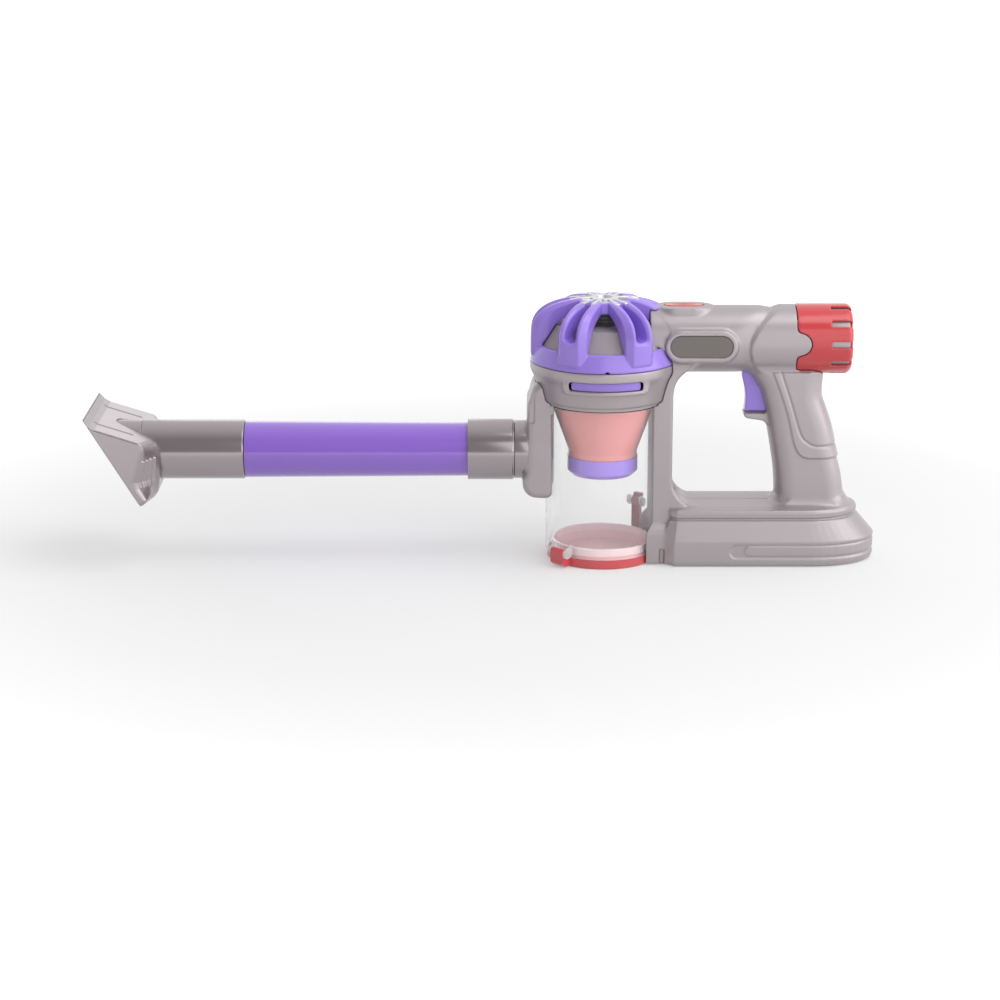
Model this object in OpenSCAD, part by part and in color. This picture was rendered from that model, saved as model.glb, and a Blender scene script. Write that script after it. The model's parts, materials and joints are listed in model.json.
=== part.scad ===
// Toy hand-held vacuum cleaner with a cyclone bin, a wand and a slanted suction head.
// Millimetres, +Z up. The origin lies on the floor under the bin's axis.
// The wand points along -X, and the clamshell body is parted at Y = 0.

/* [Dust bin] */
// Outer radius of the clear bin
bin_r = 41.4; // [40:0.1:42.4]
// Wall of the clear bin
bin_wall = 1.8; // [1.4:0.1:2.2]
// Height of the clear bin
bin_h = 110.3; // [106:0.5:116]
// Height of the lid's rim
lid_h = 6.8; // [6:0.1:7.6]
// Thickness of the lid's floor
lid_floor = 2.4; // [1.8:0.1:3]
// Height of the lid's inner plug above its floor
plug_h = 12; // [8:0.5:16]
// Height of the red funnel
cone_h = 41.6; // [36:0.2:46]
// Radius of the funnel at its top
cone_top_r = 35.4; // [33:0.1:37]
// Radius of the funnel at its foot
cone_foot_r = 24.8; // [23:0.1:25.2]
// Height of the ring below the funnel
cone_ring_h = 14; // [11:0.2:18]
// Radius of the ring below the funnel
cone_ring_r = 25.7; // [25.2:0.1:28]

/* [Cyclone] */
// Height of the collar on the bin
collar_h = 4.5; // [4:0.1:6]
// Radius of the collar on the bin
collar_r = 44; // [43:0.1:45.4]
// Height of the housing ring
ring_h = 26.2; // [24:0.2:28]
// Radius of the housing ring at its foot
ring_foot_r = 47.4; // [46.4:0.1:49]
// Radius of the dome and of the ring's top
dome_r = 53.2; // [51:0.2:55]
// Height of the dome's closed band
band_h = 12.8; // [11:0.2:15]
// Straight height of the dome below its crown
dome_rise = 18; // [16:0.5:20]
// Height of the dome's crown
dome_crown = 29; // [26:0.5:31]
// Number of legs on the dome
leg_count = 6; // [5:1:7]
// Half angle of each window
window_a = 18.5; // [15:0.5:19.5]
// Half angle of the slot in each leg
slot_a = 4.6; // [3:0.2:6]
// Angle of the first window from +X
window_az = -90; // [-94:0.2:-86]

/* [Barrel] */
// Radius of the barrel
barrel_r = 24.3; // [23.6:0.1:24.8]
// Height of the barrel's axis above the ring
barrel_rise = 15.3; // [14:0.1:16.4]
// Wall of the clamshell
shell = 2.3; // [1.8:0.1:2.8]
// How far the rear drum stands out from the barrel
drum_step = 0.6; // [0.4:0.1:0.9]
// Where the rear drum starts
drum_x = 109; // [105:0.5:113]
// Where the rear cap starts
cap_x = 138.4; // [134:0.2:142]
// Length of the rear cap
cap_l = 40.4; // [36:0.2:44]
// How far the rear cap stands out from the drum
cap_step = 0.5; // [0.4:0.1:0.9]
// Number of slots in the rear cap
cap_slots = 10; // [8:1:12]

/* [Label and button] */
// Length of the label's rim
label_l = 53; // [50:0.5:56]
// Height of the label's rim
label_h = 24; // [22:0.2:26]
// Middle of the label along the barrel
label_x = 69.6; // [69:0.2:71]
// Width of the rim round the label plate
label_rim = 4.2; // [3.6:0.2:5]
// Length of the red button
button_l = 28; // [24:0.5:30]
// Width of the red button
button_w = 11; // [9:0.5:13]
// Middle of the red button along the barrel
button_x = 57.8; // [56:0.2:60]
// Travel of the red button
button_travel = 2.5; // [2:0.1:3]

/* [Grip and trigger] */
// Front of the grip where it meets the base
grip_x = 128; // [124:0.5:132]
// Depth of the grip at its foot
grip_d = 50; // [46:0.5:52]
// Half width of the grip
grip_half = 17; // [15.5:0.1:18.5]
// Half width of the trigger
trigger_half = 6.5; // [5.5:0.1:7.5]
// Height of the trigger
trigger_h = 38; // [36:0.2:40]
// Depth of the trigger
trigger_d = 24; // [22:0.2:25]

/* [Base] */
// Height of the base at its crown
base_h = 42.9; // [40:0.1:46]
// Half width of the base
base_half = 34.4; // [33:0.2:36]
// Where the base block starts
base_x = 47; // [46:0.2:49]
// Where the rounded rear end starts
base_round_x = 153; // [148:0.5:158]
// Length of the rounded rear end
base_round = 47; // [44:0.5:52]
// Half width of the tongue beside the bin
tongue_half = 28; // [26:0.2:29]
// Height of the tongue
tongue_h = 30; // [26:0.5:32]
// Half width of the strut
strut_half = 22; // [20:0.2:24]
// Rear face of the strut
strut_x = 48.4; // [47.6:0.2:50]
// Fillet at the ends of the strut
strut_fillet = 9; // [6:0.2:11]
// Fillet between the strut and the base
foot_fillet = 13; // [9:0.2:16]

/* [Wand and head] */
// Height of the wand's axis
wand_z = 80.6; // [78:0.2:84]
// Length of the purple tube that shows
tube_l = 163.8; // [140:0.5:190]
// Radius of the tube at the head
tube_head_r = 20.8; // [20.4:0.1:21.2]
// Radius of the tube at the collar
tube_collar_r = 19.7; // [19.3:0.1:20]
// Wall of the tube
tube_wall = 1.6; // [1.2:0.1:1.8]
// Length of the wand collar
socket_l = 32.6; // [28:0.2:36]
// Radius of the wand collar at the tube
socket_r = 21.8; // [21.4:0.1:22.4]
// Length of the neck between tube and head
neck_l = 68; // [60:0.5:76]
// Radius of the neck
neck_r = 21.6; // [21.2:0.1:22.2]
// Width of the suction head
head_w = 96; // [88:0.5:104]
// Length of the suction head along the wand
head_l = 44.5; // [42:0.2:47]
// Height of the suction head
head_h = 64; // [60:0.5:68]
// Wall of the suction head
head_wall = 2.2; // [1.8:0.1:2.6]
// Depth of the inlet duct along the wand
duct_d = 18.2; // [17:0.2:19]
// Half width of the inlet duct
duct_half = 19; // [18:0.2:21]

/* [Inner parts] */
// Radius of an AA cell
cell_r = 7.2; // [7:0.05:7.25]
// Length of an AA cell
cell_l = 50.4; // [49.5:0.1:50.5]
// Radius of the motor
motor_r = 13.8; // [12:0.1:14]
// Length of the motor
motor_l = 33; // [28:0.5:35]
// Radius of the fan
fan_r = 36; // [30:0.5:38]

/* [Hidden] */
overrun = 1;
seat_gap = 0.3;
run_gap = 0.05;
turn_fn = 96;
ring_points = 32;
squareness = 2.5;

// Heights of the stack over the bin's axis
bin_z0 = lid_h + seat_gap;
bin_z1 = bin_z0 + bin_h;
ring_z0 = bin_z1 + collar_h;
ring_z1 = ring_z0 + ring_h;
band_z1 = ring_z1 + band_h;
crown_z0 = ring_z1 + dome_rise;
dome_z1 = crown_z0 + dome_crown;
barrel_z = ring_z1 + barrel_rise;
drum_r = barrel_r + drum_step;
cap_r = drum_r + cap_step;
cap_x1 = cap_x + cap_l;

// Lid, hinge and latch
lid_wall = 1.9;
lid_in = 1.2;
lid_r = bin_r - lid_in;
lid_edge = 1.2;
plug_gap = 2.6;
plug_r = bin_r - bin_wall - plug_gap;
plug_wall = 1.8;
seal_h = 1.4;
hinge_az = 225;
hinge_out = 3.9;
hinge_rise = 4.2;
hinge_x = bin_r + hinge_out;
hinge_z = lid_h + hinge_rise;
knuckle_r = 3.2;
knuckle_w = 12;
ear_r = 3.6;
ear_t = 3;
ear_top = 20;
pin_r = 1.5;
flat_share = 0.9;
latch_turn = 174;
latch_az = hinge_az - latch_turn;
latch_out = 4.2;
latch_x = bin_r + latch_out;
latch_z = 32;
latch_w = 8;
latch_t = 3;
latch_r = 3;
latch_top = 6;
latch_foot_z = 1.2;
lug_out = 3;
lug_h = 2.4;
bracket_top = 14;

// Cyclone pieces
cone_wall = 1.6;
cone_z1 = bin_z1 + seal_h;
cone_z0 = cone_z1 - cone_h;
collar_skirt = 2.4;
ring_wall = 2.4;
ring_floor = 2;
ring_eye_r = 22;
ring_step = 1.4;
ring_step_r = ring_foot_r + ring_step;
ring_step_share = 0.32;
ring_flare_share = 0.7;
pad_w = 62;
pad_h = 15;
pad_r = 4;
pad_out = 1.4;
pad_x = 0.4;
pad_share = 0.66;
slot_w = 50;
slot_h = 6;
slot_share = 0.61;
band_wall = 3;
leg_t = 7.8;
crown_t = 6.6;
hub_r = 18;
crown_steps = 10;
slot_rise = 7;
window_set = 2;
window_hub_r = hub_r + window_set;
slot_set = 5;
slot_hub_r = hub_r + slot_set;
medal_r = 16.4;
medal_t = 2.2;
medal_eye_r = 6.2;
medal_depth = 0.9;
skirt_foot_r = dome_r - leg_t;
skirt_top_r = 29;
skirt_h = 27.4;
skirt_z1 = ring_z1 + skirt_h;
skirt_wall = 2;
cover_r = 17;
cover_wall = 1.8;
cover_rib = 1.3;
cover_ribs = 4;
cover_z1 = crown_z0 + (dome_crown - crown_t) * sqrt(1 - pow(hub_r / (dome_r - leg_t), 2));
plate_t = 2;
shaft_r = 1.2;
shaft_drop = 19;
shaft_rise = 2;
fan_h = 13;
fan_hub_r = 7;
fan_blades = 9;
fan_blade_t = 1.6;
fan_plate = 1.6;
fan_gap = 3;
motor_screw_x = 8;

// Body details
front_x = 24;
drum_blend = 5;
tab_w = 17;
tab_l = 10.4;
cap_wall = 2;
cap_fillet = 4.5;
fillet_steps = 6;
vent_w = 4.4;
vent_l = 15.5;
vent_depth = 7;
insert_gap = 0.4;
insert_wall = 3;
insert_l = 26;
filter_t = 9;
filter_gap = 0.3;
pad_top = 0.5;
button_pad_l = 40;
button_pad_w = 28;
button_rise = 0.8;
button_depth = 7;
button_shelf = 3;
button_wall = 2;
button_hole_gap = 0.4;
spring_r = 3.2;
spring_wire = 0.8;
label_out = 2;
label_drop = 1.2;
label_depth = 1.5;
label_t = 1.2;
trigger_x = 100.4;
trigger_drop = 52.8;
trigger_bottom = barrel_z - trigger_drop;
trigger_gap = 0.4;
trigger_room = 7;
pivot_x = 9;
pivot_share = 0.86;
pivot_wall = 4;
ledge_in = 2;
ledge_l = 18.4;
ledge_h = 8.4;
ledge_gap = 1.1;
ledge_half = 8.5;
ledge_shares = [[0, 0], [0, -0.25], [0.15, -0.5], [0.85, -0.7], [1, -1], [1.46, 0]];
switch_l = 8;
switch_h = 13;
board_t = 1.6;
board_h = 34;
board_z = 72;
grip_inset = 6;
grip_room = 11.5;

// Base details
corner_run = 8;
corner_cut = 7;
base_wall = 2.6;
base_floor = 2.4;
base_roof = 5.4;
tongue_x = 28;
tongue_cut = 5;
tongue_z = 0.8;
notch_x = 44.5;
notch_l = 3.6;
notch_d = 5;
notch_z = 4;
notch_h = 15;
groove_x = 92;
groove_z = 11.6;
groove_h = 9.6;
groove_d = 1;
strut_x0 = 30;
channel_half = 15;
channel_d = 2.6;
door_x = 64;
door_l = 116.4;
door_half = 19;
door_gap = 0.3;
door_t = 2;
door_lift = 0.2;
cell_gap = 0.6;
cell_x = 68;
contact_t = 0.8;
contact_h = 12;
contact_half = 15.4;
boss_r = 4.2;
rear_boss_share = 0.66;
rear_boss_w_share = 0.56;
grip_boss_shares = [[0.45, 0.14], [0.36, 0.6]];
rail_t = 1.6;
rail_h = 17;
rail_share = 0.88;
screw_r = 1.3;
screw_head_r = 2.7;
screw_head_h = 1.8;
screw_gap = 0.1;
screw_depth = 12;
screw_seat = 6;

// Wand and head details
duct_wrap = 4.2;
duct_x1 = bin_r - duct_wrap;
duct_x0 = -(duct_x1 + duct_d);
duct_rise = 12;
duct_top = ring_z0 + duct_rise;
duct_slant = 7;
duct_drop = 32.6;
duct_bulge = 3.4;
duct_round = 10;
stub_r = 21.4;
stub_l = 9;
spigot_r = 19.3;
spigot_l = 18;
spigot_wall = 1.8;
bore_r = spigot_r - spigot_wall;
socket_x1 = duct_x0 - stub_l - seat_gap;
socket_x0 = socket_x1 - socket_l;
tube_end = 11;
tube_x0 = socket_x0 - tube_l;
neck_spigot = 16;
neck_wall = 2;
neck_x0 = tube_x0 - neck_l;
neck_in = 20;
neck_set = 9;
head_x1 = neck_x0 - seat_gap;
head_drop = 31.5;
head_bottom = wand_z - head_drop;

// Shares of the head's length and height, from the mouth's lip round to its foot
head_shares = [[0, 1], [0.16, 0.9], [0.86, 0.74], [0.94, 0.61], [0.82, 0.28], [1, 0.07], [0.9, 0]];
head_room_shares = [
    [-0.03, 0.94], [0.16, 0.855], [0.8, 0.7], [0.87, 0.6], [0.75, 0.28], [0.86, 0.06], [0.8, -0.01],
];
lobe_shares = [
    [0.6, 0.8], [0.97, 0.72], [1.16, 0.6], [1.17, 0.3], [1.18, 0.12], [1.08, 0], [0.86, 0], [0.72, 0.6],
];
lobe_room_shares = [
    [0.75, 0.71], [0.95, 0.665], [1.1, 0.575], [1.11, 0.3], [1.12, 0.12], [1.04, 0.04],
    [0.8, -0.03], [0.7, 0.5],
];
lobe_w_share = 0.56;

// Shares of the trigger's depth and height, from its lower front corner round its outline
trigger_shares = [
    [0.1, 0], [0.12, 0.24], [0.09, 0.48], [0.01, 0.72], [0.05, 0.95], [0.22, 1],
    [0.52, 1], [0.6, 0.78], [0.8, 0.42], [0.92, 0],
];

// Shares of the grip: height, front line, back line, half width
grip_shares = [
    [-0.015, -0.1, 1.1, 1.2], [0.03, -0.045, 1.01, 1.05], [0.06, -0.035, 0.97, 1],
    [0.185, -0.054, 0.92, 1], [0.333, -0.108, 0.826, 1], [0.465, -0.166, 0.756, 1],
    [0.568, -0.21, 0.674, 1], [0.652, -0.264, 0.6, 1], [0.71, -0.31, 0.592, 1],
    [0.794, -0.44, 0.606, 1.02], [0.9, -0.6, 0.64, 1.05],
];

// Shares of the base: height, inset at the sides, inset at the rear
base_shares = [
    [0, 0.1, 0.2], [0.035, 0.03, 0.1], [0.1, 0.005, 0.03], [0.22, 0, 0], [0.457, 0, 0],
    [0.79, 0.14, 0.15], [0.8, 0.18, 0.19], [0.83, 0.18, 0.19], [0.84, 0.145, 0.18],
    [0.93, 0.145, 0.2], [0.965, 0.19, 0.25], [1, 0.6, 0.6],
];

grip_h = barrel_z - base_h;

function joined(lists) = [for (l = lists) for (v = l) v];
function signed_pow(v, e) = sign(v) * pow(abs(v), e);
function scaled(shares, x, y, w, h) = [for (s = shares) [x + s[0] * w, y + s[1] * h]];

// Points of the dome's crown, from its side to radius r_end
function crown_points(r, h, z, r_end) = [
    for (i = [0 : crown_steps])
        let (a = acos(r_end / r) * i / crown_steps)
        [r * cos(a), z + h * sin(a)]
];

// One ring of the grip at row s of its table
function grip_ring(s) = [
    for (i = [0 : ring_points - 1])
        let (
            a = 360 * i / ring_points,
            x0 = grip_x + s[1] * grip_d,
            x1 = grip_x + s[2] * grip_d
        )
        [
            (x0 + x1) / 2 + (x1 - x0) / 2 * signed_pow(cos(a), 2 / squareness),
            grip_half * s[3] * signed_pow(sin(a), 2 / squareness),
            base_h + s[0] * grip_h,
        ]
];

// One ring of the base at row s of its table, drawn in by a wall
function base_ring(s, wall = 0) =
    let (
        half = base_half * (1 - s[1]) - wall,
        run = base_round * (1 - s[2]) - wall,
        z = base_h * s[0],
        side = max(half - corner_cut, 0),
        x = base_x + wall
    )
    concat(
        [
            for (i = [0 : ring_points - 1])
                let (a = -90 + 180 * i / (ring_points - 1))
                [base_round_x + run * cos(a), half * sin(a), z]
        ],
        [
            [x + corner_run, half, z], [x, side, z],
            [x, -side, z], [x + corner_run, -half, z],
        ]
    );

// Solid through a list of rings that have the same number of points
module loft(rings) {
    n = len(rings[0]);
    m = len(rings);
    sides = [
        for (j = [0 : m - 2], i = [0 : n - 1])
            let (a = j * n + i, b = j * n + (i + 1) % n)
            each [[a, a + n, b + n], [a, b + n, b]]
    ];
    caps = [[for (i = [0 : n - 1]) i], [for (i = [n - 1 : -1 : 0]) (m - 1) * n + i]];
    polyhedron(points = joined(rings), faces = concat(sides, caps), convexity = 6);
}

// Turned shape about the vertical axis
module turned() {
    rotate_extrude($fn = turn_fn) children();
}

// Turned shape about an axis along X at height z, with its profile's y along X
module turned_x(z) {
    translate([0, 0, z]) rotate([0, 90, 0]) rotate_extrude($fn = turn_fn) children();
}

// Plain tube along X
module tube_x(z, r, inner_r, x, l) {
    translate([x, 0, z]) rotate([0, 90, 0]) difference() {
        cylinder(r = r, h = l, $fn = turn_fn);
        translate([0, 0, -overrun]) cylinder(r = inner_r, h = l + 2 * overrun, $fn = turn_fn);
    }
}

// Rod along Y at x, z
module rod_y(x, z, r, l) {
    translate([x, 0, z]) rotate([90, 0, 0]) cylinder(r = r, h = l, center = true, $fn = turn_fn);
}

// Outline in X and Z, drawn out to both sides of Y = 0
module slab_y(half) {
    rotate([90, 0, 0]) linear_extrude(height = 2 * half, center = true) children();
}

// Oval outline of length l and height h
module oval(l, h) {
    square([l - h, h], center = true);
    for (side = [-1, 1]) translate([side * (l - h) / 2, 0]) circle(d = h, $fn = turn_fn);
}

// Room that the bin, ring and dome take, grown by gap g
module cyclone_room(g) {
    turned() polygon(concat(
        [
            [0, -overrun], [bin_r + g, -overrun], [bin_r + g, bin_z1 - collar_skirt - g],
            [collar_r + g, bin_z1 - collar_skirt - g], [collar_r + g, ring_z0 - g],
            [ring_foot_r + g, ring_z0 - g],
        ],
        [for (p = ring_outline()) [p[0] + g, p[1]]],
        [for (p = crown_points(dome_r, dome_crown, crown_z0, 0)) [p[0] + g, p[1] + g]],
        [[0, dome_z1 + g]]
    ));
}

// Outer line of the housing ring
function ring_outline() = [
    [ring_foot_r, ring_z0], [ring_step_r, ring_z0 + pad_out],
    [ring_step_r, ring_z0 + ring_h * ring_step_share],
    [dome_r, ring_z0 + ring_h * ring_flare_share], [dome_r, ring_z1],
];

// Places of the body screws in X and Z, with the half length of their bosses
screw_places = [
    [base_x + corner_run, base_floor + 2 * boss_r, base_half - corner_cut],
    [base_round_x + base_round * rear_boss_share, base_floor + 2 * boss_r, base_half * rear_boss_w_share],
    for (s = grip_boss_shares) [grip_x + grip_d * s[0], base_h + grip_h * s[1], grip_room],
];

// Pad under the red button
module button_pad() {
    translate([button_x, 0, barrel_z]) linear_extrude(height = barrel_r + pad_top)
        oval(button_pad_l, button_pad_w);
}

module barrel_solid() {
    turned_x(barrel_z) polygon([
        [0, front_x], [barrel_r, front_x], [barrel_r, drum_x - drum_blend],
        [drum_r, drum_x], [drum_r, cap_x], [0, cap_x],
    ]);
}

// Tongue of the drum that the cap's notch fits, grown by gap g
module cap_tab(g) {
    translate([0, 0, barrel_z]) slab_y(drum_r + overrun) {
        translate([cap_x - overrun, -tab_w / 2 - g])
            square([tab_l - tab_w / 4 + overrun + g, tab_w + 2 * g]);
        translate([cap_x + tab_l - tab_w / 2 + g, 0]) intersection() {
            circle(d = tab_w + 2 * g, $fn = turn_fn);
            translate([tab_w / 8, -tab_w]) square([tab_w, 2 * tab_w]);
        }
    }
}

module label_rims() {
    translate([label_x, 0, barrel_z - label_drop]) slab_y(barrel_r + label_out) oval(label_l, label_h);
}

module label_room(g) {
    for (side = [-1, 1])
        translate([label_x, side * (barrel_r + label_out), barrel_z - label_drop])
            slab_y(label_depth - g)
                oval(label_l - 2 * label_rim - 2 * g, label_h - 2 * label_rim - 2 * g);
}

// Strut beside the bin, with a fillet at each end
module strut_solid() {
    low = base_h * base_shares[10][0];
    high = barrel_z - barrel_r;
    slab_y(strut_half) {
        translate([strut_x0, low - base_floor]) square([strut_x - strut_x0, barrel_z - low + base_floor]);
        translate([strut_x - overrun, high - strut_fillet]) difference() {
            square([strut_fillet + overrun, strut_fillet + barrel_z - high]);
            translate([strut_fillet + overrun, 0]) circle(r = strut_fillet, $fn = turn_fn);
        }
        translate([strut_x - overrun, low - base_floor]) difference() {
            square([foot_fillet + overrun, foot_fillet + base_floor]);
            translate([foot_fillet + overrun, foot_fillet + base_floor])
                circle(r = foot_fillet, $fn = turn_fn);
        }
    }
}

module strut_channel() {
    low = base_h + foot_fillet;
    translate([strut_x - channel_d, -channel_half, low])
        cube([channel_d + overrun, 2 * channel_half, barrel_z - barrel_r - strut_fillet - low]);
}

module tongue_solid() {
    translate([tongue_x, 0, tongue_z]) rotate([90, 0, 90])
        linear_extrude(height = base_x + corner_run - tongue_x) polygon([
            [-tongue_half, 0], [tongue_half, 0], [tongue_half, tongue_h - tongue_cut],
            [tongue_half - tongue_cut, tongue_h], [tongue_cut - tongue_half, tongue_h],
            [-tongue_half, tongue_h - tongue_cut],
        ]);
}

// Nose that stops the finger under the trigger
module ledge_solid() {
    translate([trigger_x + ledge_in, 0, trigger_bottom - ledge_gap]) slab_y(ledge_half)
        polygon(scaled(ledge_shares, 0, 0, ledge_l, ledge_h));
}

module trigger_room_solid() {
    translate([trigger_x - seat_gap, -trigger_half - trigger_gap, trigger_bottom - ledge_gap])
        cube([trigger_d + trigger_room, 2 * (trigger_half + trigger_gap), trigger_h + 2 * ledge_gap]);
}

// Hollow of the grip, between inset front and back lines
module grip_room_solid() {
    rows = [for (i = [2 : len(grip_shares) - 1]) grip_shares[i]];
    slab_y(grip_room) polygon(concat(
        [for (s = rows) [grip_x + s[1] * grip_d + grip_inset, base_h + s[0] * grip_h]],
        [
            for (i = [len(rows) - 1 : -1 : 0])
                [grip_x + rows[i][2] * grip_d - grip_inset, base_h + rows[i][0] * grip_h]
        ]
    ));
}

module side_groove() {
    for (side = [-1, 1])
        translate([groove_x, side * base_half, groove_z]) slab_y(groove_d)
            translate([(base_round_x - groove_x) / 2, 0]) oval(base_round_x - groove_x, groove_h);
}

module body_solid() {
    difference() {
        union() {
            barrel_solid();
            button_pad();
            label_rims();
            strut_solid();
            tongue_solid();
            difference() {
                loft([for (s = grip_shares) grip_ring(s)]);
                translate([cap_x, 0, barrel_z]) rotate([0, 90, 0])
                    cylinder(r = cap_r + seat_gap, h = 2 * cap_l, $fn = turn_fn);
            }
            loft([for (s = base_shares) base_ring(s)]);
            ledge_solid();
            intersection() {
                tube_x(barrel_z, drum_r, drum_r - shell, cap_x - overrun, tab_l + overrun);
                cap_tab(0);
            }
        }
        translate([front_x - overrun, 0, barrel_z]) rotate([0, 90, 0])
            cylinder(r = barrel_r - shell, h = cap_x - front_x + 2 * overrun, $fn = turn_fn);
        grip_room_solid();
        trigger_room_solid();
        strut_channel();
        label_room(0);
        side_groove();
        loft([
            base_ring([base_floor / base_h, base_shares[1][1], base_shares[1][2]], base_wall),
            base_ring(base_shares[3], base_wall), base_ring(base_shares[4], base_wall),
            base_ring(base_shares[6], base_wall),
            base_ring([1 - base_roof / base_h, base_shares[10][1], base_shares[10][2]], base_wall),
        ]);
        translate([door_x - door_gap, -door_half - door_gap, -overrun])
            cube([door_l + 2 * door_gap, 2 * (door_half + door_gap), base_floor + 2 * overrun]);
        for (side = [-1, 1])
            translate([notch_x, side * tongue_half - notch_d / 2, notch_z])
                cube([notch_l, notch_d, notch_h]);
        translate([button_x, 0, barrel_z]) linear_extrude(height = barrel_r + button_rise + overrun)
            oval(button_l + 2 * button_hole_gap, button_w + 2 * button_hole_gap);
    }
}

// Bosses, shelf and pivot posts inside the shell
module body_fittings() {
    for (p = screw_places) rod_y(p[0], p[1], boss_r, 2 * (p[2] + overrun));
    rails = [
        [contact_x0 - rail_t, base_half - base_wall / 2], [contact_x1 + contact_t, base_half * rail_share],
    ];
    for (rail = rails)
        translate([rail[0], -rail[1], cell_z - cell_r]) cube([rail_t, 2 * rail[1], rail_h]);
    translate([door_screw_x, door_screw_y, cell_z - cell_r])
        cylinder(r = boss_r, h = 2 * screw_seat, $fn = turn_fn);
    translate([button_x, 0, button_shelf_z - button_wall])
        translate([-button_l / 2, -button_shelf_half, 0])
            cube([button_l, 2 * button_shelf_half, button_wall]);
    post_y = trigger_half + trigger_gap + pivot_wall / 2;
    foot_z = barrel_z - sqrt(pow(barrel_r - shell / 2, 2) - pow(post_y, 2));
    for (side = [-1, 1]) {
        translate([0, side * post_y, 0]) rod_y(trigger_x + pivot_x, pivot_z, 2 * pin_r, pivot_wall);
        translate([trigger_x + pivot_x - pin_r, side * post_y - pivot_wall / 4, min(foot_z, pivot_z)])
            cube([2 * pin_r, pivot_wall / 2, abs(pivot_z - foot_z)]);
    }
}
button_bottom_z = barrel_z + barrel_r + button_rise - button_depth;
button_shelf_z = button_bottom_z - button_travel - button_shelf;
button_shelf_half = sqrt(pow(barrel_r - shell, 2) - pow(button_shelf_z - barrel_z, 2)) + shell / 2;
pivot_z = trigger_bottom + trigger_h * pivot_share;
cell_z = door_lift + door_t + seat_gap + cell_r;
contact_x0 = cell_x - 3 * contact_t;
contact_x1 = cell_x + 2 * (cell_l + cell_gap);
door_screw_x = contact_x1 + contact_t + boss_r;
door_screw_y = -2 * boss_r;

module screw_holes() {
    for (p = screw_places) {
        translate([p[0], -screw_depth, p[1]]) rotate([-90, 0, 0])
            cylinder(r = screw_r + screw_gap, h = base_half + screw_depth + overrun, $fn = turn_fn);
        translate([p[0], screw_seat, p[1]]) rotate([-90, 0, 0])
            cylinder(r = screw_head_r + seat_gap, h = base_half + overrun, $fn = turn_fn);
    }
    post_half = trigger_half + trigger_gap + pivot_wall;
    rod_y(trigger_x + pivot_x, pivot_z, pin_r + run_gap, 2 * (post_half + overrun));
    translate([door_screw_x, door_screw_y, 0])
        cylinder(r = screw_r + screw_gap, h = base_floor + screw_seat, $fn = turn_fn);
}

// One half of the clamshell: side is -1 for the near half and 1 for the far half
module body_half(side) {
    reach = cap_x1 + base_round_x;
    intersection() {
        difference() {
            union() {
                body_solid();
                body_fittings();
            }
            screw_holes();
            cyclone_room(seat_gap);
        }
        translate([-reach / 2, side < 0 ? -reach : 0, -overrun]) cube([2 * reach, reach, reach]);
    }
}

module body_near_half() {
    color([0.66, 0.63, 0.64]) body_half(-1);
}

module body_far_half() {
    color([0.66, 0.63, 0.64]) body_half(1);
}

module body_screws() {
    color([0.75, 0.75, 0.77]) for (p = screw_places) translate([p[0], 0, p[1]]) rotate([-90, 0, 0]) {
        translate([0, 0, overrun - screw_depth])
            cylinder(r = screw_r, h = screw_seat + screw_depth, $fn = turn_fn);
        translate([0, 0, screw_seat]) cylinder(r = screw_head_r, h = screw_head_h, $fn = turn_fn);
    }
}

module label_plates() {
    color([0.48, 0.46, 0.44]) for (side = [-1, 1])
        translate([label_x, side * (barrel_r + label_out - label_depth + label_t / 2), barrel_z - label_drop])
            slab_y(label_t / 2) oval(
                label_l - 2 * label_rim - 2 * screw_gap, label_h - 2 * label_rim - 2 * screw_gap
            );
}

module release_button() {
    color([0.86, 0.22, 0.27]) difference() {
        translate([button_x, 0, button_bottom_z]) linear_extrude(height = button_depth)
            oval(button_l, button_w);
        translate([0, 0, button_travel]) cyclone_room(seat_gap);
    }
}

module button_spring() {
    color([0.7, 0.7, 0.72]) translate([button_x, 0, button_shelf_z]) difference() {
        cylinder(r = spring_r, h = button_shelf - seat_gap, $fn = turn_fn);
        translate([0, 0, -overrun])
            cylinder(r = spring_r - spring_wire, h = button_shelf + 2 * overrun, $fn = turn_fn);
    }
}

module trigger() {
    color([0.56, 0.44, 0.86]) difference() {
        slab_y(trigger_half)
            polygon(scaled(trigger_shares, trigger_x, trigger_bottom, trigger_d, trigger_h));
        rod_y(trigger_x + pivot_x, pivot_z, pin_r + run_gap, 2 * (trigger_half + overrun));
    }
}

module trigger_pin() {
    color([0.75, 0.75, 0.77])
        rod_y(trigger_x + pivot_x, pivot_z, pin_r, 2 * (trigger_half + trigger_gap + pivot_wall - seat_gap));
}

module trigger_spring() {
    x0 = trigger_x + trigger_d + trigger_room / 2;
    color([0.7, 0.7, 0.72]) tube_x(
        trigger_bottom + trigger_h / 4, spring_r, spring_r - spring_wire, x0, trigger_room / 2 - seat_gap
    );
}

module trigger_switch() {
    x0 = trigger_x + trigger_d + trigger_room - seat_gap;
    color([0.15, 0.15, 0.17]) translate([x0, -grip_room, trigger_bottom + trigger_h / 4 - switch_h / 2])
        cube([switch_l, 2 * grip_room, switch_h]);
}

module circuit_board() {
    x = grip_x + grip_d * grip_boss_shares[1][0];
    color([0.16, 0.4, 0.24]) translate([x - board_t / 2, -grip_room, board_z])
        cube([board_t, 2 * grip_room, board_h]);
}

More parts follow.
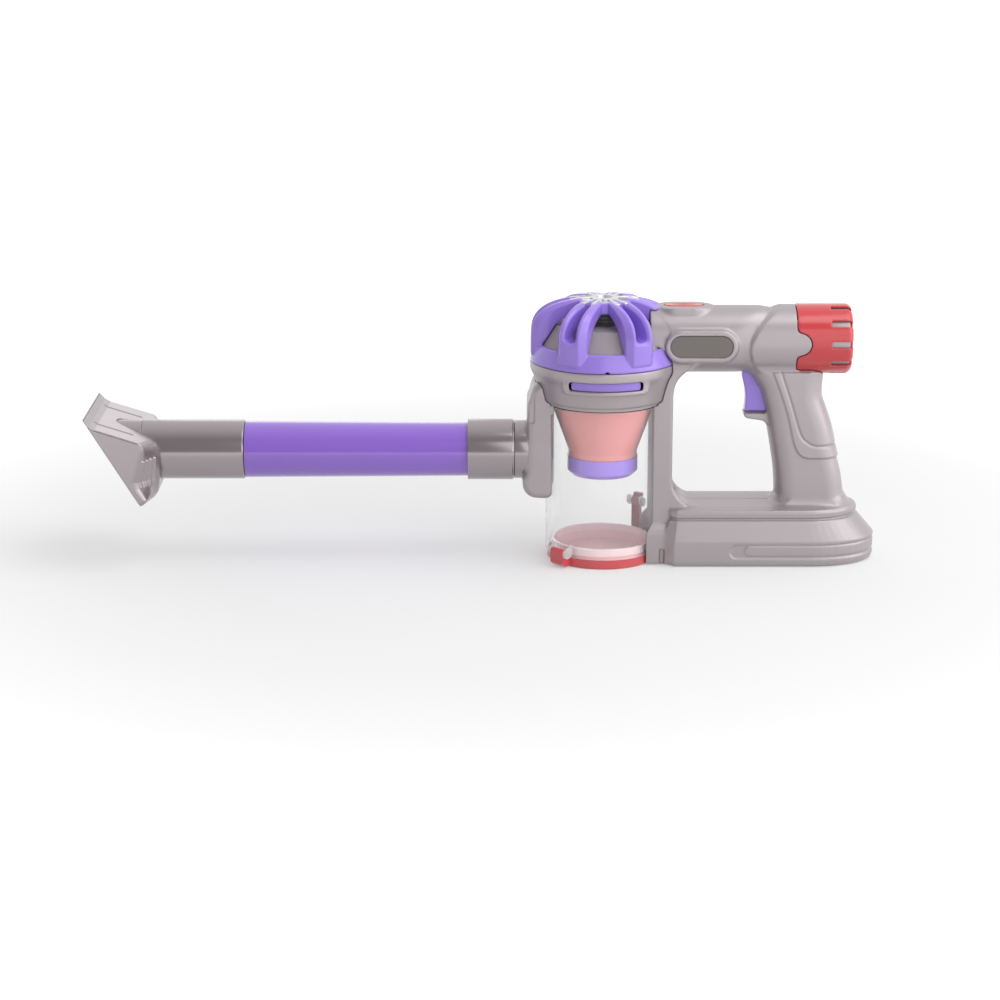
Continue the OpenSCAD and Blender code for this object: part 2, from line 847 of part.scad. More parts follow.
module rear_cap() {
    color([0.84, 0.24, 0.28]) difference() {
        turned_x(barrel_z) polygon(concat(
            [[cap_r - cap_wall, cap_x], [cap_r, cap_x]],
            [
                for (i = [0 : fillet_steps])
                    let (a = 90 * i / fillet_steps)
                    [cap_r - cap_fillet + cap_fillet * cos(a), cap_x1 - cap_fillet + cap_fillet * sin(a)]
            ],
            [
                [0, cap_x1], [0, cap_x1 - cap_wall], [cap_r - cap_wall - cap_fillet / 2, cap_x1 - cap_wall],
                [cap_r - cap_wall, cap_x1 - cap_wall - cap_fillet / 2],
            ]
        ));
        cap_tab(seat_gap);
        for (i = [0 : cap_slots - 1])
            translate([cap_x1 - vent_l, 0, barrel_z]) rotate([360 * (i + 0.5) / cap_slots, 0, 0])
                translate([0, -vent_w / 2, cap_r - vent_depth])
                    cube([vent_l + overrun, vent_w, vent_depth + overrun]);
    }
}

module cap_insert() {
    r = cap_r - cap_wall - insert_gap;
    x0 = cap_x1 - cap_wall - insert_l;
    color([0.6, 0.58, 0.59]) turned_x(barrel_z) polygon([
        [0, x0], [r, x0], [r, x0 + insert_l / 2], [r - vent_depth / 2, x0 + insert_l - cap_fillet],
        [r - vent_depth, x0 + insert_l], [0, x0 + insert_l], [0, x0 + insert_l - insert_wall],
        [r - vent_depth - insert_wall, x0 + insert_l - insert_wall], [r - insert_wall, x0 + insert_l / 3],
        [r - insert_wall, x0 + insert_wall], [0, x0 + insert_wall],
    ]);
}

module exhaust_filter() {
    color([0.2, 0.2, 0.22]) translate([cap_x - 2 * filter_t, 0, barrel_z]) rotate([0, 90, 0])
        cylinder(r = barrel_r - shell - filter_gap, h = filter_t, $fn = turn_fn);
}

module battery_door() {
    color([0.66, 0.63, 0.64]) difference() {
        translate([door_x, -door_half, door_lift]) cube([door_l, 2 * door_half, door_t]);
        translate([door_screw_x, door_screw_y, -overrun])
            cylinder(r = screw_r + screw_gap, h = base_h, $fn = turn_fn);
        translate([door_screw_x, door_screw_y, -overrun])
            cylinder(r = screw_head_r + screw_gap, h = door_lift + door_t / 2 + overrun, $fn = turn_fn);
    }
}

module door_screw() {
    color([0.75, 0.75, 0.77]) translate([door_screw_x, door_screw_y, 0]) {
        translate([0, 0, 2 * door_lift])
            cylinder(r = screw_head_r, h = door_t / 2 - door_lift, $fn = turn_fn);
        translate([0, 0, door_lift + door_t / 2]) cylinder(r = screw_r, h = screw_seat, $fn = turn_fn);
    }
}

module battery_cells() {
    color([0.22, 0.22, 0.24]) for (row = [-1, 1], i = [0, 1])
        translate([cell_x + i * (cell_l + cell_gap), row * (cell_r + cell_gap / 2), cell_z])
            rotate([0, 90, 0]) cylinder(r = cell_r, h = cell_l, $fn = turn_fn);
}

module battery_contacts() {
    color([0.78, 0.76, 0.7]) for (x = [contact_x0, contact_x1])
        translate([x, -contact_half, cell_z - contact_h / 2])
            cube([contact_t, 2 * contact_half, contact_h]);
}

module battery_springs() {
    l = 2 * contact_t - seat_gap;
    color([0.7, 0.7, 0.72]) for (row = [-1, 1])
        translate([0, row * (cell_r + cell_gap / 2), 0])
            tube_x(cell_z, spring_r, spring_r - spring_wire, contact_x0 + contact_t, l);
}

// Rounded panel on the ring's front, cut or added through its wall
module front_panel(w, h, r, share) {
    translate([pad_x, 0, ring_z0 + ring_h * share]) rotate([90, 0, 0]) linear_extrude(height = 2 * dome_r) {
        square([w - 2 * r, h], center = true);
        square([w, h - 2 * r], center = true);
        for (x = [-1, 1], z = [-1, 1])
            translate([x * (w / 2 - r), z * (h / 2 - r)]) circle(r = r, $fn = turn_fn);
    }
}

module cyclone_ring() {
    color([0.66, 0.63, 0.64]) difference() {
        union() {
            turned() polygon(concat(
                [[ring_eye_r, ring_z0]], ring_outline(),
                [
                    [dome_r - ring_wall, ring_z1], [dome_r - ring_wall, ring_z0 + ring_h * ring_flare_share],
                    [ring_step_r - ring_wall, ring_z0 + ring_h * ring_step_share],
                    [ring_step_r - ring_wall, ring_z0 + ring_floor], [ring_eye_r, ring_z0 + ring_floor],
                ]
            ));
            intersection() {
                difference() {
                    translate([0, 0, ring_z0]) cylinder(r = dome_r - pad_out / 4, h = ring_h, $fn = turn_fn);
                    translate([0, 0, ring_z0 - overrun])
                        cylinder(r = dome_r - ring_wall - pad_out, h = ring_h + 2 * overrun, $fn = turn_fn);
                }
                front_panel(pad_w, pad_h, pad_r, pad_share);
            }
        }
        front_panel(slot_w, slot_h, pad_r / 2, slot_share);
    }
}

module slot_bar() {
    r = dome_r - ring_wall - pad_out - seat_gap;
    color([0.56, 0.44, 0.86]) intersection() {
        translate([0, 0, ring_z0]) difference() {
            cylinder(r = dome_r - ring_wall, h = ring_h, $fn = turn_fn);
            translate([0, 0, -overrun]) cylinder(r = r, h = ring_h + 2 * overrun, $fn = turn_fn);
        }
        front_panel(slot_w - 2 * seat_gap, slot_h - 2 * seat_gap, pad_r / 2 - seat_gap, slot_share);
    }
}

// Upright wedge of half angle a between two radii, from height z upwards
module wedge(a, r0, r1, z) {
    translate([0, 0, z]) linear_extrude(height = dome_z1 - z + overrun) polygon([
        [r0 * cos(a), -r0 * sin(a)], [r1 * cos(a), -r1 * sin(a)],
        [r1 * cos(a), r1 * sin(a)], [r0 * cos(a), r0 * sin(a)],
    ]);
}

module dome_cage() {
    step = 360 / leg_count;
    color([0.56, 0.44, 0.86]) difference() {
        turned() polygon(concat(
            [[dome_r - band_wall, ring_z1], [dome_r, ring_z1]],
            crown_points(dome_r, dome_crown, crown_z0, medal_r + overrun),
            [[medal_r + overrun, medal_z], [0, medal_z], [0, cover_z1], [hub_r, cover_z1]],
            [
                for (i = [crown_steps - 1 : -1 : 0])
                    crown_points(dome_r - leg_t, dome_crown - crown_t, crown_z0, hub_r)[i]
            ],
            [[dome_r - leg_t, band_z1 - overrun], [dome_r - band_wall, band_z1 - leg_t]]
        ));
        for (i = [0 : leg_count - 1]) rotate([0, 0, window_az + i * step]) {
            wedge(window_a, window_hub_r, 2 * dome_r, band_z1);
            rotate([0, 0, step / 2]) wedge(slot_a, slot_hub_r, 2 * dome_r, band_z1 + slot_rise);
        }
    }
}
medal_z = dome_z1 - medal_t - medal_depth;

module dome_medallion() {
    color([0.85, 0.85, 0.88]) turned() polygon([
        [0, medal_z], [medal_r, medal_z], [medal_r, medal_z + medal_t / 2],
        [medal_r - medal_t, medal_z + medal_t], [medal_eye_r + medal_t, medal_z + medal_t],
        [medal_eye_r, medal_z + medal_t / 2], [0, medal_z + medal_t / 2],
    ]);
}

module dome_skirt() {
    color([0.62, 0.6, 0.61]) turned() polygon([
        [skirt_foot_r - skirt_wall, ring_z1], [skirt_foot_r, ring_z1], [skirt_top_r, skirt_z1],
        [cover_r - cover_wall, skirt_z1], [cover_r - cover_wall, skirt_z1 - skirt_wall],
        [skirt_top_r - skirt_wall, skirt_z1 - skirt_wall],
    ]);
}

module motor_cover() {
    pitch = (cover_z1 - skirt_z1) / cover_ribs;
    color([0.25, 0.24, 0.26]) turned() polygon(concat(
        [[cover_r - cover_wall, skirt_z1]],
        joined([
            for (i = [0 : cover_ribs - 1])
                let (z = skirt_z1 + i * pitch)
                [
                    [cover_r, z], [cover_r, z + pitch / 2],
                    [cover_r - cover_rib, z + pitch / 2], [cover_r - cover_rib, z + pitch],
                ]
        ]),
        [[0, cover_z1], [0, cover_z1 - cover_wall], [cover_r - cover_wall, cover_z1 - cover_wall]]
    ));
}

module motor_plate() {
    color([0.3, 0.3, 0.32]) translate([0, 0, ring_z1 - plate_t]) difference() {
        cylinder(r = dome_r - ring_wall - pad_out - seat_gap, h = plate_t, $fn = turn_fn);
        translate([0, 0, -overrun]) cylinder(r = 3 * shaft_r, h = plate_t + 2 * overrun, $fn = turn_fn);
        for (side = [-1, 1]) translate([side * motor_screw_x, 0, -overrun])
            cylinder(r = screw_r + screw_gap, h = plate_t + 2 * overrun, $fn = turn_fn);
    }
}

module motor_screws() {
    color([0.75, 0.75, 0.77]) for (side = [-1, 1]) translate([side * motor_screw_x, 0, ring_z1 - plate_t]) {
        translate([0, 0, -screw_head_h]) cylinder(r = screw_head_r, h = screw_head_h, $fn = turn_fn);
        cylinder(r = screw_r, h = plate_t, $fn = turn_fn);
    }
}

module motor_can() {
    color([0.72, 0.72, 0.74]) translate([0, 0, ring_z1]) difference() {
        cylinder(r = motor_r, h = motor_l, $fn = turn_fn);
        translate([0, 0, -overrun]) cylinder(r = shaft_r + run_gap, h = motor_l + 2 * overrun, $fn = turn_fn);
    }
}

module motor_shaft() {
    color([0.8, 0.8, 0.82]) translate([0, 0, ring_z1 - shaft_drop])
        cylinder(r = shaft_r, h = shaft_drop + motor_l + shaft_rise, $fn = turn_fn);
}

module impeller() {
    z0 = ring_z1 - plate_t - fan_gap - fan_h;
    color([0.85, 0.84, 0.8]) difference() {
        union() {
            translate([0, 0, z0]) cylinder(r = fan_hub_r, h = fan_h, $fn = turn_fn);
            translate([0, 0, z0 + fan_h - fan_plate]) cylinder(r = fan_r, h = fan_plate, $fn = turn_fn);
            for (i = [0 : fan_blades - 1]) rotate([0, 0, 360 * i / fan_blades])
                translate([fan_hub_r / 2, -fan_blade_t / 2, z0])
                    cube([fan_r - fan_hub_r, fan_blade_t, fan_h - fan_plate / 2]);
        }
        translate([0, 0, z0 - overrun]) cylinder(r = shaft_r, h = fan_h + 2 * overrun, $fn = turn_fn);
    }
}

module bin_collar() {
    color([0.66, 0.63, 0.64]) turned() polygon([
        [cone_foot_r, bin_z1 + seal_h], [bin_r + screw_gap, bin_z1 + seal_h],
        [bin_r + screw_gap, bin_z1 - collar_skirt], [collar_r, bin_z1 - collar_skirt],
        [collar_r, ring_z0], [cone_foot_r, ring_z0],
    ]);
}

module bin_seal() {
    color([0.12, 0.12, 0.13]) translate([0, 0, bin_z1]) difference() {
        cylinder(r = bin_r, h = seal_h, $fn = turn_fn);
        translate([0, 0, -overrun]) cylinder(r = bin_r - bin_wall, h = seal_h + 2 * overrun, $fn = turn_fn);
    }
}

// Flat ear with a round end at the hinge or latch pin, standing on the bin's wall
module bin_ear(x, z, r, top) {
    slab_y(ear_t / 2) {
        translate([x, z]) circle(r = r, $fn = turn_fn);
        polygon([
            [bin_r - bin_wall / 2, z - r * flat_share], [x, z - r * flat_share],
            [x + r * flat_share, z], [x, z + r * flat_share], [bin_r - bin_wall / 2, z + top],
        ]);
    }
}

module dust_bin() {
    color([0.86, 0.87, 0.9, 0.35]) difference() {
        union() {
            translate([0, 0, bin_z0]) cylinder(r = bin_r, h = bin_h, $fn = turn_fn);
            rotate([0, 0, hinge_az]) for (side = [-1, 1])
                translate([0, side * (knuckle_w / 2 + seat_gap + ear_t / 2), 0])
                    bin_ear(hinge_x, hinge_z, ear_r, ear_top);
            rotate([0, 0, latch_az]) for (side = [-1, 1])
                translate([0, side * (latch_w / 2 + seat_gap + ear_t / 2), 0])
                    bin_ear(latch_x, latch_z, ear_r, bracket_top);
        }
        translate([0, 0, bin_z0 - overrun])
            cylinder(r = bin_r - bin_wall, h = bin_h + 2 * overrun, $fn = turn_fn);
        translate([-bin_r - overrun, 0, wand_z]) rotate([0, 90, 0])
            cylinder(r = bore_r, h = bin_r, $fn = turn_fn);
        rotate([0, 0, hinge_az]) rod_y(hinge_x, hinge_z, pin_r + run_gap, 2 * knuckle_w);
        rotate([0, 0, latch_az]) rod_y(latch_x, latch_z, pin_r + run_gap, 2 * knuckle_w);
    }
}

module cyclone_cone() {
    color([0.8, 0.2, 0.27]) turned() polygon([
        [cone_foot_r - cone_wall, cone_z0], [cone_foot_r, cone_z0],
        [cone_top_r, cone_z1], [cone_top_r - cone_wall, cone_z1],
    ]);
}

module cone_ring() {
    z0 = cone_z0 - cone_ring_h;
    color([0.56, 0.44, 0.86]) turned() polygon([
        [cone_ring_r / 2, z0], [cone_ring_r - 2 * cone_wall, z0], [cone_ring_r, z0 + 2 * cone_wall],
        [cone_ring_r, cone_z0], [cone_ring_r - 2 * cone_wall, cone_z0],
        [cone_ring_r - 2 * cone_wall, z0 + 2 * cone_wall], [cone_ring_r / 2, z0 + cone_wall],
    ]);
}

module bin_lid() {
    reach = knuckle_r * flat_share;
    color([0.84, 0.22, 0.3]) difference() {
        union() {
            turned() polygon([
                [0, 0], [lid_r - lid_edge, 0], [lid_r, lid_edge], [lid_r, lid_h],
                [lid_r - lid_wall, lid_h], [lid_r - lid_wall, lid_floor], [plug_r, lid_floor],
                [plug_r, lid_floor + plug_h], [plug_r - plug_wall, lid_floor + plug_h],
                [plug_r - plug_wall, lid_floor], [0, lid_floor],
            ]);
            rotate([0, 0, hinge_az]) slab_y(knuckle_w / 2) {
                translate([hinge_x, hinge_z]) circle(r = knuckle_r, $fn = turn_fn);
                polygon([
                    [lid_r - lid_wall / 2, lid_edge], [hinge_x, lid_edge],
                    [hinge_x + reach, lid_h / 2], [hinge_x + reach, hinge_z],
                    [hinge_x - reach, hinge_z], [hinge_x - reach, lid_h], [lid_r - lid_wall / 2, lid_h],
                ]);
            }
            rotate([0, 0, latch_az]) translate([lid_r - lid_wall / 2, -latch_w / 2, lid_h - lug_h])
                cube([lid_wall / 2 + lug_out, latch_w, lug_h]);
        }
        rotate([0, 0, hinge_az]) rod_y(hinge_x, hinge_z, pin_r + run_gap, 2 * knuckle_w);
    }
}

module lid_seal() {
    color([0.12, 0.12, 0.13]) translate([0, 0, lid_floor]) difference() {
        cylinder(r = lid_r - lid_wall - screw_gap, h = lid_h - lid_floor, $fn = turn_fn);
        translate([0, 0, -overrun]) cylinder(r = plug_r + screw_gap, h = lid_h + overrun, $fn = turn_fn);
    }
}

module lid_hinge_pin() {
    color([0.75, 0.75, 0.77]) rotate([0, 0, hinge_az])
        rod_y(hinge_x, hinge_z, pin_r, knuckle_w + 2 * (ear_t + seat_gap));
}

module lid_latch() {
    x0 = lid_r + lug_out + seat_gap;
    color([0.6, 0.1, 0.14]) rotate([0, 0, latch_az]) difference() {
        slab_y(latch_w / 2) {
            translate([latch_x, latch_z]) circle(r = latch_r, $fn = turn_fn);
            polygon([
                [x0, latch_foot_z], [x0 + latch_t, latch_foot_z], [x0 + latch_t, latch_z],
                [x0 + 2 * latch_t, latch_z + latch_top], [x0 + latch_t, latch_z + latch_top],
                [x0, latch_z],
            ]);
        }
        rod_y(latch_x, latch_z, pin_r + run_gap, 2 * latch_w);
    }
}

module latch_pin() {
    color([0.75, 0.75, 0.77]) rotate([0, 0, latch_az])
        rod_y(latch_x, latch_z, pin_r, latch_w + 2 * (ear_t + seat_gap));
}

module inlet_duct() {
    low = wand_z - duct_drop;
    color([0.64, 0.61, 0.62]) difference() {
        union() {
            slab_y(duct_half) {
                polygon([
                    [duct_x0, low + duct_round], [-duct_x1, low + duct_round], [-duct_x1, duct_top],
                    [duct_x0 + duct_slant, duct_top], [duct_x0, duct_top - 2 * duct_slant],
                ]);
                translate([duct_x0 - duct_bulge + duct_round, low])
                    square([-duct_x0 - duct_x1 + duct_bulge - duct_round, 2 * duct_round]);
                translate([duct_x0 - duct_bulge, low + duct_round])
                    square([duct_round, duct_round / 2]);
                translate([duct_x0 - duct_bulge + duct_round, low + duct_round])
                    circle(r = duct_round, $fn = turn_fn);
            }
            tube_x(wand_z, stub_r, bore_r, duct_x0 - stub_l, stub_l + overrun);
            tube_x(wand_z, spigot_r, bore_r, duct_x0 - stub_l - spigot_l, spigot_l + overrun);
        }
        cyclone_room(seat_gap);
        translate([duct_x0 - 2 * stub_l - spigot_l, 0, wand_z]) rotate([0, 90, 0])
            cylinder(r = bore_r, h = bin_r + spigot_l, $fn = turn_fn);
    }
}

module wand_collar() {
    bore = tube_collar_r + screw_gap;
    color([0.42, 0.39, 0.41]) turned_x(wand_z) polygon([
        [bore, socket_x0], [socket_r - lid_edge / 2, socket_x0], [socket_r, socket_x0 + lid_edge],
        [stub_r, socket_x1], [bore, socket_x1],
    ]);
}

module wand_tube() {
    color([0.5, 0.36, 0.78]) turned_x(wand_z) polygon([
        [tube_head_r - tube_wall, tube_x0], [tube_head_r, tube_x0], [tube_collar_r, socket_x0],
        [tube_collar_r, socket_x0 + tube_end], [tube_collar_r - tube_wall, socket_x0 + tube_end],
        [tube_collar_r - tube_wall, socket_x0 - tube_end],
        [tube_head_r - tube_wall, tube_x0 + 2 * neck_spigot],
    ]);
}

module head_neck() {
    plug = tube_head_r - tube_wall - seat_gap;
    bore = plug - neck_wall;
    color([0.42, 0.39, 0.41]) difference() {
        turned_x(wand_z) polygon([
            [neck_r - neck_wall, neck_x0 - neck_in], [neck_r, neck_x0 - neck_in],
            [neck_r, tube_x0 - seat_gap - lid_edge], [neck_r - lid_edge / 2, tube_x0 - seat_gap],
            [plug, tube_x0 - seat_gap], [plug, tube_x0 + neck_spigot], [bore, tube_x0 + neck_spigot],
            [bore, tube_x0 - neck_spigot / 2], [neck_r - neck_wall, tube_x0 - neck_spigot],
        ]);
        mouth_room(neck_set);
    }
}

// Everything in front of the head's mouth, and into the head to depth d
module mouth_room(d) {
    mouth_a = atan2(head_l * head_shares[len(head_shares) - 1][0], head_h);
    translate([head_x1 - head_l, 0, head_bottom + head_h]) rotate([0, -mouth_a, 0])
        translate([d - head_w, -head_w, -2 * head_h]) cube([head_w, 2 * head_w, 3 * head_h]);
}

module floor_head() {
    x0 = head_x1 - head_l;
    lobe_half = head_w * lobe_w_share / 2;
    color([0.68, 0.66, 0.67]) difference() {
        union() {
            slab_y(head_w / 2) polygon(scaled(head_shares, x0, head_bottom, head_l, head_h));
            slab_y(lobe_half) polygon(scaled(lobe_shares, x0, head_bottom, head_l, head_h));
        }
        slab_y(head_w / 2 - head_wall) polygon(scaled(head_room_shares, x0, head_bottom, head_l, head_h));
        slab_y(lobe_half - head_wall) polygon(scaled(lobe_room_shares, x0, head_bottom, head_l, head_h));
        translate([neck_x0 - neck_in, 0, wand_z]) rotate([0, 90, 0])
            cylinder(r = neck_r + screw_gap, h = head_l, $fn = turn_fn);
    }
}

body_near_half();
body_far_half();
body_screws();
label_plates();
release_button();
button_spring();
trigger();
trigger_pin();
trigger_spring();
trigger_switch();
circuit_board();
rear_cap();
cap_insert();
exhaust_filter();
battery_door();
door_screw();
battery_cells();
battery_contacts();
battery_springs();
cyclone_ring();
slot_bar();
dome_cage();
dome_skirt();
motor_cover();
dome_medallion();
motor_plate();
motor_screws();
motor_can();
motor_shaft();
impeller();
bin_collar();
bin_seal();
dust_bin();
cyclone_cone();
cone_ring();
bin_lid();
lid_seal();
lid_hinge_pin();
lid_latch();
latch_pin();
inlet_duct();
wand_collar();
wand_tube();
head_neck();
floor_head();
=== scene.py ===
"""Looks for the toy vacuum cleaner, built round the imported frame.

Moulded shells are drawn as distance fields in millimetres, in the frame's own axes, and meshed with soft
edges. Round pieces are turned from profiles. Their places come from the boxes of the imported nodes.
The last number of join, cut, meet, slab and block is the radius of the fillet or edge. A value named
SCALE brings a sloped field near a true distance.
"""
import functools
import json
import math

import bpy
import numpy as np
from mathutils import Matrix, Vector


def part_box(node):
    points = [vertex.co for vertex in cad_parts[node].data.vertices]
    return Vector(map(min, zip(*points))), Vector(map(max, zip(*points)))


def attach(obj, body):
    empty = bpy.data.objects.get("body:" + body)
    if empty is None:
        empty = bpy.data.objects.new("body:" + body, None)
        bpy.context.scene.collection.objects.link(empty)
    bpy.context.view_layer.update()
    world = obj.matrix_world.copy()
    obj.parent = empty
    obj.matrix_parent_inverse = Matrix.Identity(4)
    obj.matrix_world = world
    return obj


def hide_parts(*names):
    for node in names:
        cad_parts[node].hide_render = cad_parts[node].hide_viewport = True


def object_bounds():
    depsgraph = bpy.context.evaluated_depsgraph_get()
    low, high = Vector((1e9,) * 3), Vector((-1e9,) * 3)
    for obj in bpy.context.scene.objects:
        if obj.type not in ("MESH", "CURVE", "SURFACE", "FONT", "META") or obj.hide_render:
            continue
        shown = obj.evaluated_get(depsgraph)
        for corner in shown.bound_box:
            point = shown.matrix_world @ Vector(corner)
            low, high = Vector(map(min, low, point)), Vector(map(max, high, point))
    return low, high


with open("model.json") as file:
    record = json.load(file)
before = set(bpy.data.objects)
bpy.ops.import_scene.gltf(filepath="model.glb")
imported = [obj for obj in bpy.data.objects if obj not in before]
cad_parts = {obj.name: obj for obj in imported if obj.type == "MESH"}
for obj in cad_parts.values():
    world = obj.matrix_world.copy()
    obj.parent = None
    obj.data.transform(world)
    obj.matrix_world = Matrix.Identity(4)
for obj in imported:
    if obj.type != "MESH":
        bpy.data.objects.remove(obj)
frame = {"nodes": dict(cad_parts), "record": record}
cad_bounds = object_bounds()
MM = 0.001


def span(node):
    """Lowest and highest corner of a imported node, in millimetres."""
    lo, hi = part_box(node)
    return np.array(lo) / MM, np.array(hi) / MM


# Main sizes, read from the frame
cap_lo, cap_hi = span("rear_cap")
shell_lo, shell_hi = span("body_far_half")
ring_lo, ring_hi = span("cyclone_ring")
collar_lo, collar_hi = span("bin_collar")
duct_lo, duct_hi = span("inlet_duct")
head_lo, head_hi = span("floor_head")
tube_lo, tube_hi = span("wand_tube")
socket_lo, socket_hi = span("wand_collar")
trigger_lo, trigger_hi = span("trigger")
button_lo, button_hi = span("release_button")
label_lo, label_hi = span("label_plates")
door_lo, door_hi = span("battery_door")
medal_lo, medal_hi = span("dome_medallion")
skirt_lo, skirt_hi = span("dome_skirt")
dust_lo, dust_hi = span("dust_bin")
dome_hi = span("dome_cage")[1]
seal_hi = span("bin_seal")[1]
neck_hi = span("head_neck")[1]
cone_lo = span("cyclone_cone")[0]

label_mid, label_size = (label_lo + label_hi) / 2, label_hi - label_lo
button_mid, button_size = (button_lo + button_hi) / 2, button_hi - button_lo
bin_r = seal_hi[0]
collar_r = collar_hi[0]
dome_r = dome_hi[0]
ring_z0, ring_z1 = ring_lo[2], ring_hi[2]
cap_r = (cap_hi[2] - cap_lo[2]) / 2
barrel_z = (cap_hi[2] + cap_lo[2]) / 2
wand_z = (tube_hi[2] + tube_lo[2]) / 2
base_half = shell_hi[1]
base_x1 = shell_hi[0]

# Gaps shared by the moulded pieces
SEAT = 0.3
SEAM = 0.12


# Distance fields

GRID_MARGIN = 3.37


def grid(lo, hi, step):
    """Axis arrays that broadcast to a block of points round a box; the odd margin misses its faces."""
    margin = GRID_MARGIN * step
    x, y, z = (np.arange(a - margin, b + margin, step) for a, b in zip(lo, hi))
    return x[:, None, None], y[None, :, None], z[None, None, :]


def join(a, b, k):
    """Union of two fields with a fillet of about k."""
    h = np.clip(0.5 + 0.5 * (b - a) / k, 0, 1)
    return b + (a - b) * h - k * h * (1 - h)


def cut(a, b, k):
    """Field a without field b, with its new edge rounded by about k."""
    return -join(-a, b, k)


def meet(a, b, k):
    """Overlap of two fields with its edge rounded by about k."""
    return -join(-a, -b, k)


def both(*fields):
    """Sharp overlap of fields."""
    return functools.reduce(np.maximum, fields)


def either(*fields):
    """Sharp union of fields."""
    return functools.reduce(np.minimum, fields)


def bevelled(a, b, c, k):
    """Overlap of two fields whose shared edge has a flat of about c and small roundings."""
    return meet(meet(a, b, k), (a + b + c) * math.sqrt(0.5), k)


def outline(u, v, points):
    """Signed distance to a closed outline in the plane of u and v."""
    gap = np.full(np.broadcast(u, v).shape, np.inf)
    inside = np.zeros(gap.shape, bool)
    for (ax, ay), (bx, by) in zip(points, points[1:] + points[:1]):
        ex, ey = bx - ax, by - ay
        wx, wy = u - ax, v - ay
        t = np.clip((wx * ex + wy * ey) / (ex * ex + ey * ey), 0, 1)
        gap = np.minimum(gap, (wx - ex * t) ** 2 + (wy - ey * t) ** 2)
        crosses = (v >= ay) != (v >= by)
        inside ^= crosses & ((ex * wy > ey * wx) == (ey > 0))
    return np.where(inside, -1, 1) * np.sqrt(gap)


def line_gap(u, v, points):
    """Distance to an open line in the plane of u and v."""
    gap = np.full(np.broadcast(u, v).shape, np.inf)
    for (ax, ay), (bx, by) in zip(points, points[1:]):
        ex, ey = bx - ax, by - ay
        t = np.clip(((u - ax) * ex + (v - ay) * ey) / (ex * ex + ey * ey), 0, 1)
        gap = np.minimum(gap, np.hypot(u - ax - ex * t, v - ay - ey * t))
    return gap


def slab(s, t, half, r):
    """Outline field s drawn out to t = half on both sides, with edges of radius r."""
    a = s + r
    b = np.abs(t) - half + r
    return np.minimum(np.maximum(a, b), 0) + np.hypot(np.maximum(a, 0), np.maximum(b, 0)) - r


def block(x, y, z, lo, hi, r):
    """Box between two corners with edges of radius r."""
    q = [np.abs(p - (a + b) / 2) - (b - a) / 2 + r for p, a, b in zip((x, y, z), lo, hi)]
    outer = np.sqrt(sum(np.maximum(p, 0) ** 2 for p in q))
    return outer + np.minimum(np.maximum(np.maximum(q[0], q[1]), q[2]), 0) - r


def pill(u, v, length, height):
    """Long oval about the origin."""
    return np.hypot(np.maximum(np.abs(u) - (length - height) / 2, 0), v) - height / 2


def soft_rect(u, v, width, height, r):
    """Rectangle about the origin with corners of radius r."""
    return np.hypot(np.maximum(np.abs(u) - width / 2 + r, 0), np.maximum(np.abs(v) - height / 2 + r, 0)) - r


def ellipse(u, v, a, b):
    """Distance to an ellipse about the origin, near its edge."""
    near = np.hypot(u / a, v / b)
    return near * (near - 1) / np.maximum(np.hypot(u / a ** 2, v / b ** 2), 1e-6)


def full_ellipse(u, v, a, b, n):
    """Distance to an ellipse with fuller shoulders, near its edge."""
    u, v = np.maximum(u / a, 1e-4), np.maximum(v / b, 1e-4)
    near = (u ** n + v ** n) ** (1 / n)
    steep = near ** (1 - n) * np.hypot(u ** (n - 1) / a, v ** (n - 1) / b)
    return (near - 1) / np.maximum(steep, 1e-4)


def stepped(s, run):
    """1 inside a field and 0 outside, with a slope of a given run at its edge."""
    return np.clip(0.5 - s / run, 0, 1)


def ridge(s, width):
    """1 where a field is zero, falling off over a width on both sides."""
    return np.exp(-(s / width) ** 2)


def smooth_line(points, steps):
    """Points of a smooth curve through a list of points."""
    p = np.array([points[0]] + list(points) + [points[-1]], float)
    out = []
    for i in range(1, len(p) - 2):
        a, b, c, d = p[i - 1:i + 3]
        for t in np.arange(steps) / steps:
            out.append(tuple(0.5 * (2 * b + (c - a) * t + (2 * a - 5 * b + 4 * c - d) * t ** 2
                                    + (3 * b - a - 3 * c + d) * t ** 3)))
    out.append(tuple(p[-1]))
    return out


def around(x, z, offsets, length=1, height=1):
    """Places at offsets from a corner, or at shares of a length and a height."""
    return [(x + u * length, z + v * height) for u, v in offsets]


# Meshes

SNAP_ROUNDS = 2
LATHE_SIDES = 160
WELD_GAP = 0.00001


def sample(field, lo, step, points):
    """Values of a field's block at points, by linear steps between its grid points."""
    at = (points - lo) / step
    cell = np.clip(np.floor(at).astype(int), 0, np.array(field.shape) - 2)
    f = at - cell
    total = np.zeros(len(points))
    for corner in range(8):
        bits = [(corner >> i) & 1 for i in range(3)]
        weight = np.prod([f[:, i] if bits[i] else 1 - f[:, i] for i in range(3)], axis=0)
        total += weight * field[cell[:, 0] + bits[0], cell[:, 1] + bits[1], cell[:, 2] + bits[2]]
    return total


def slope(field, lo, step, points):
    """Unit direction in which the field grows at points."""
    reach = 0.6 * step
    g = np.stack([
        sample(field, lo, step, points + reach * e) - sample(field, lo, step, points - reach * e)
        for e in np.eye(3)
    ], axis=1)
    return g / np.maximum(np.linalg.norm(g, axis=1, keepdims=True), 1e-9)


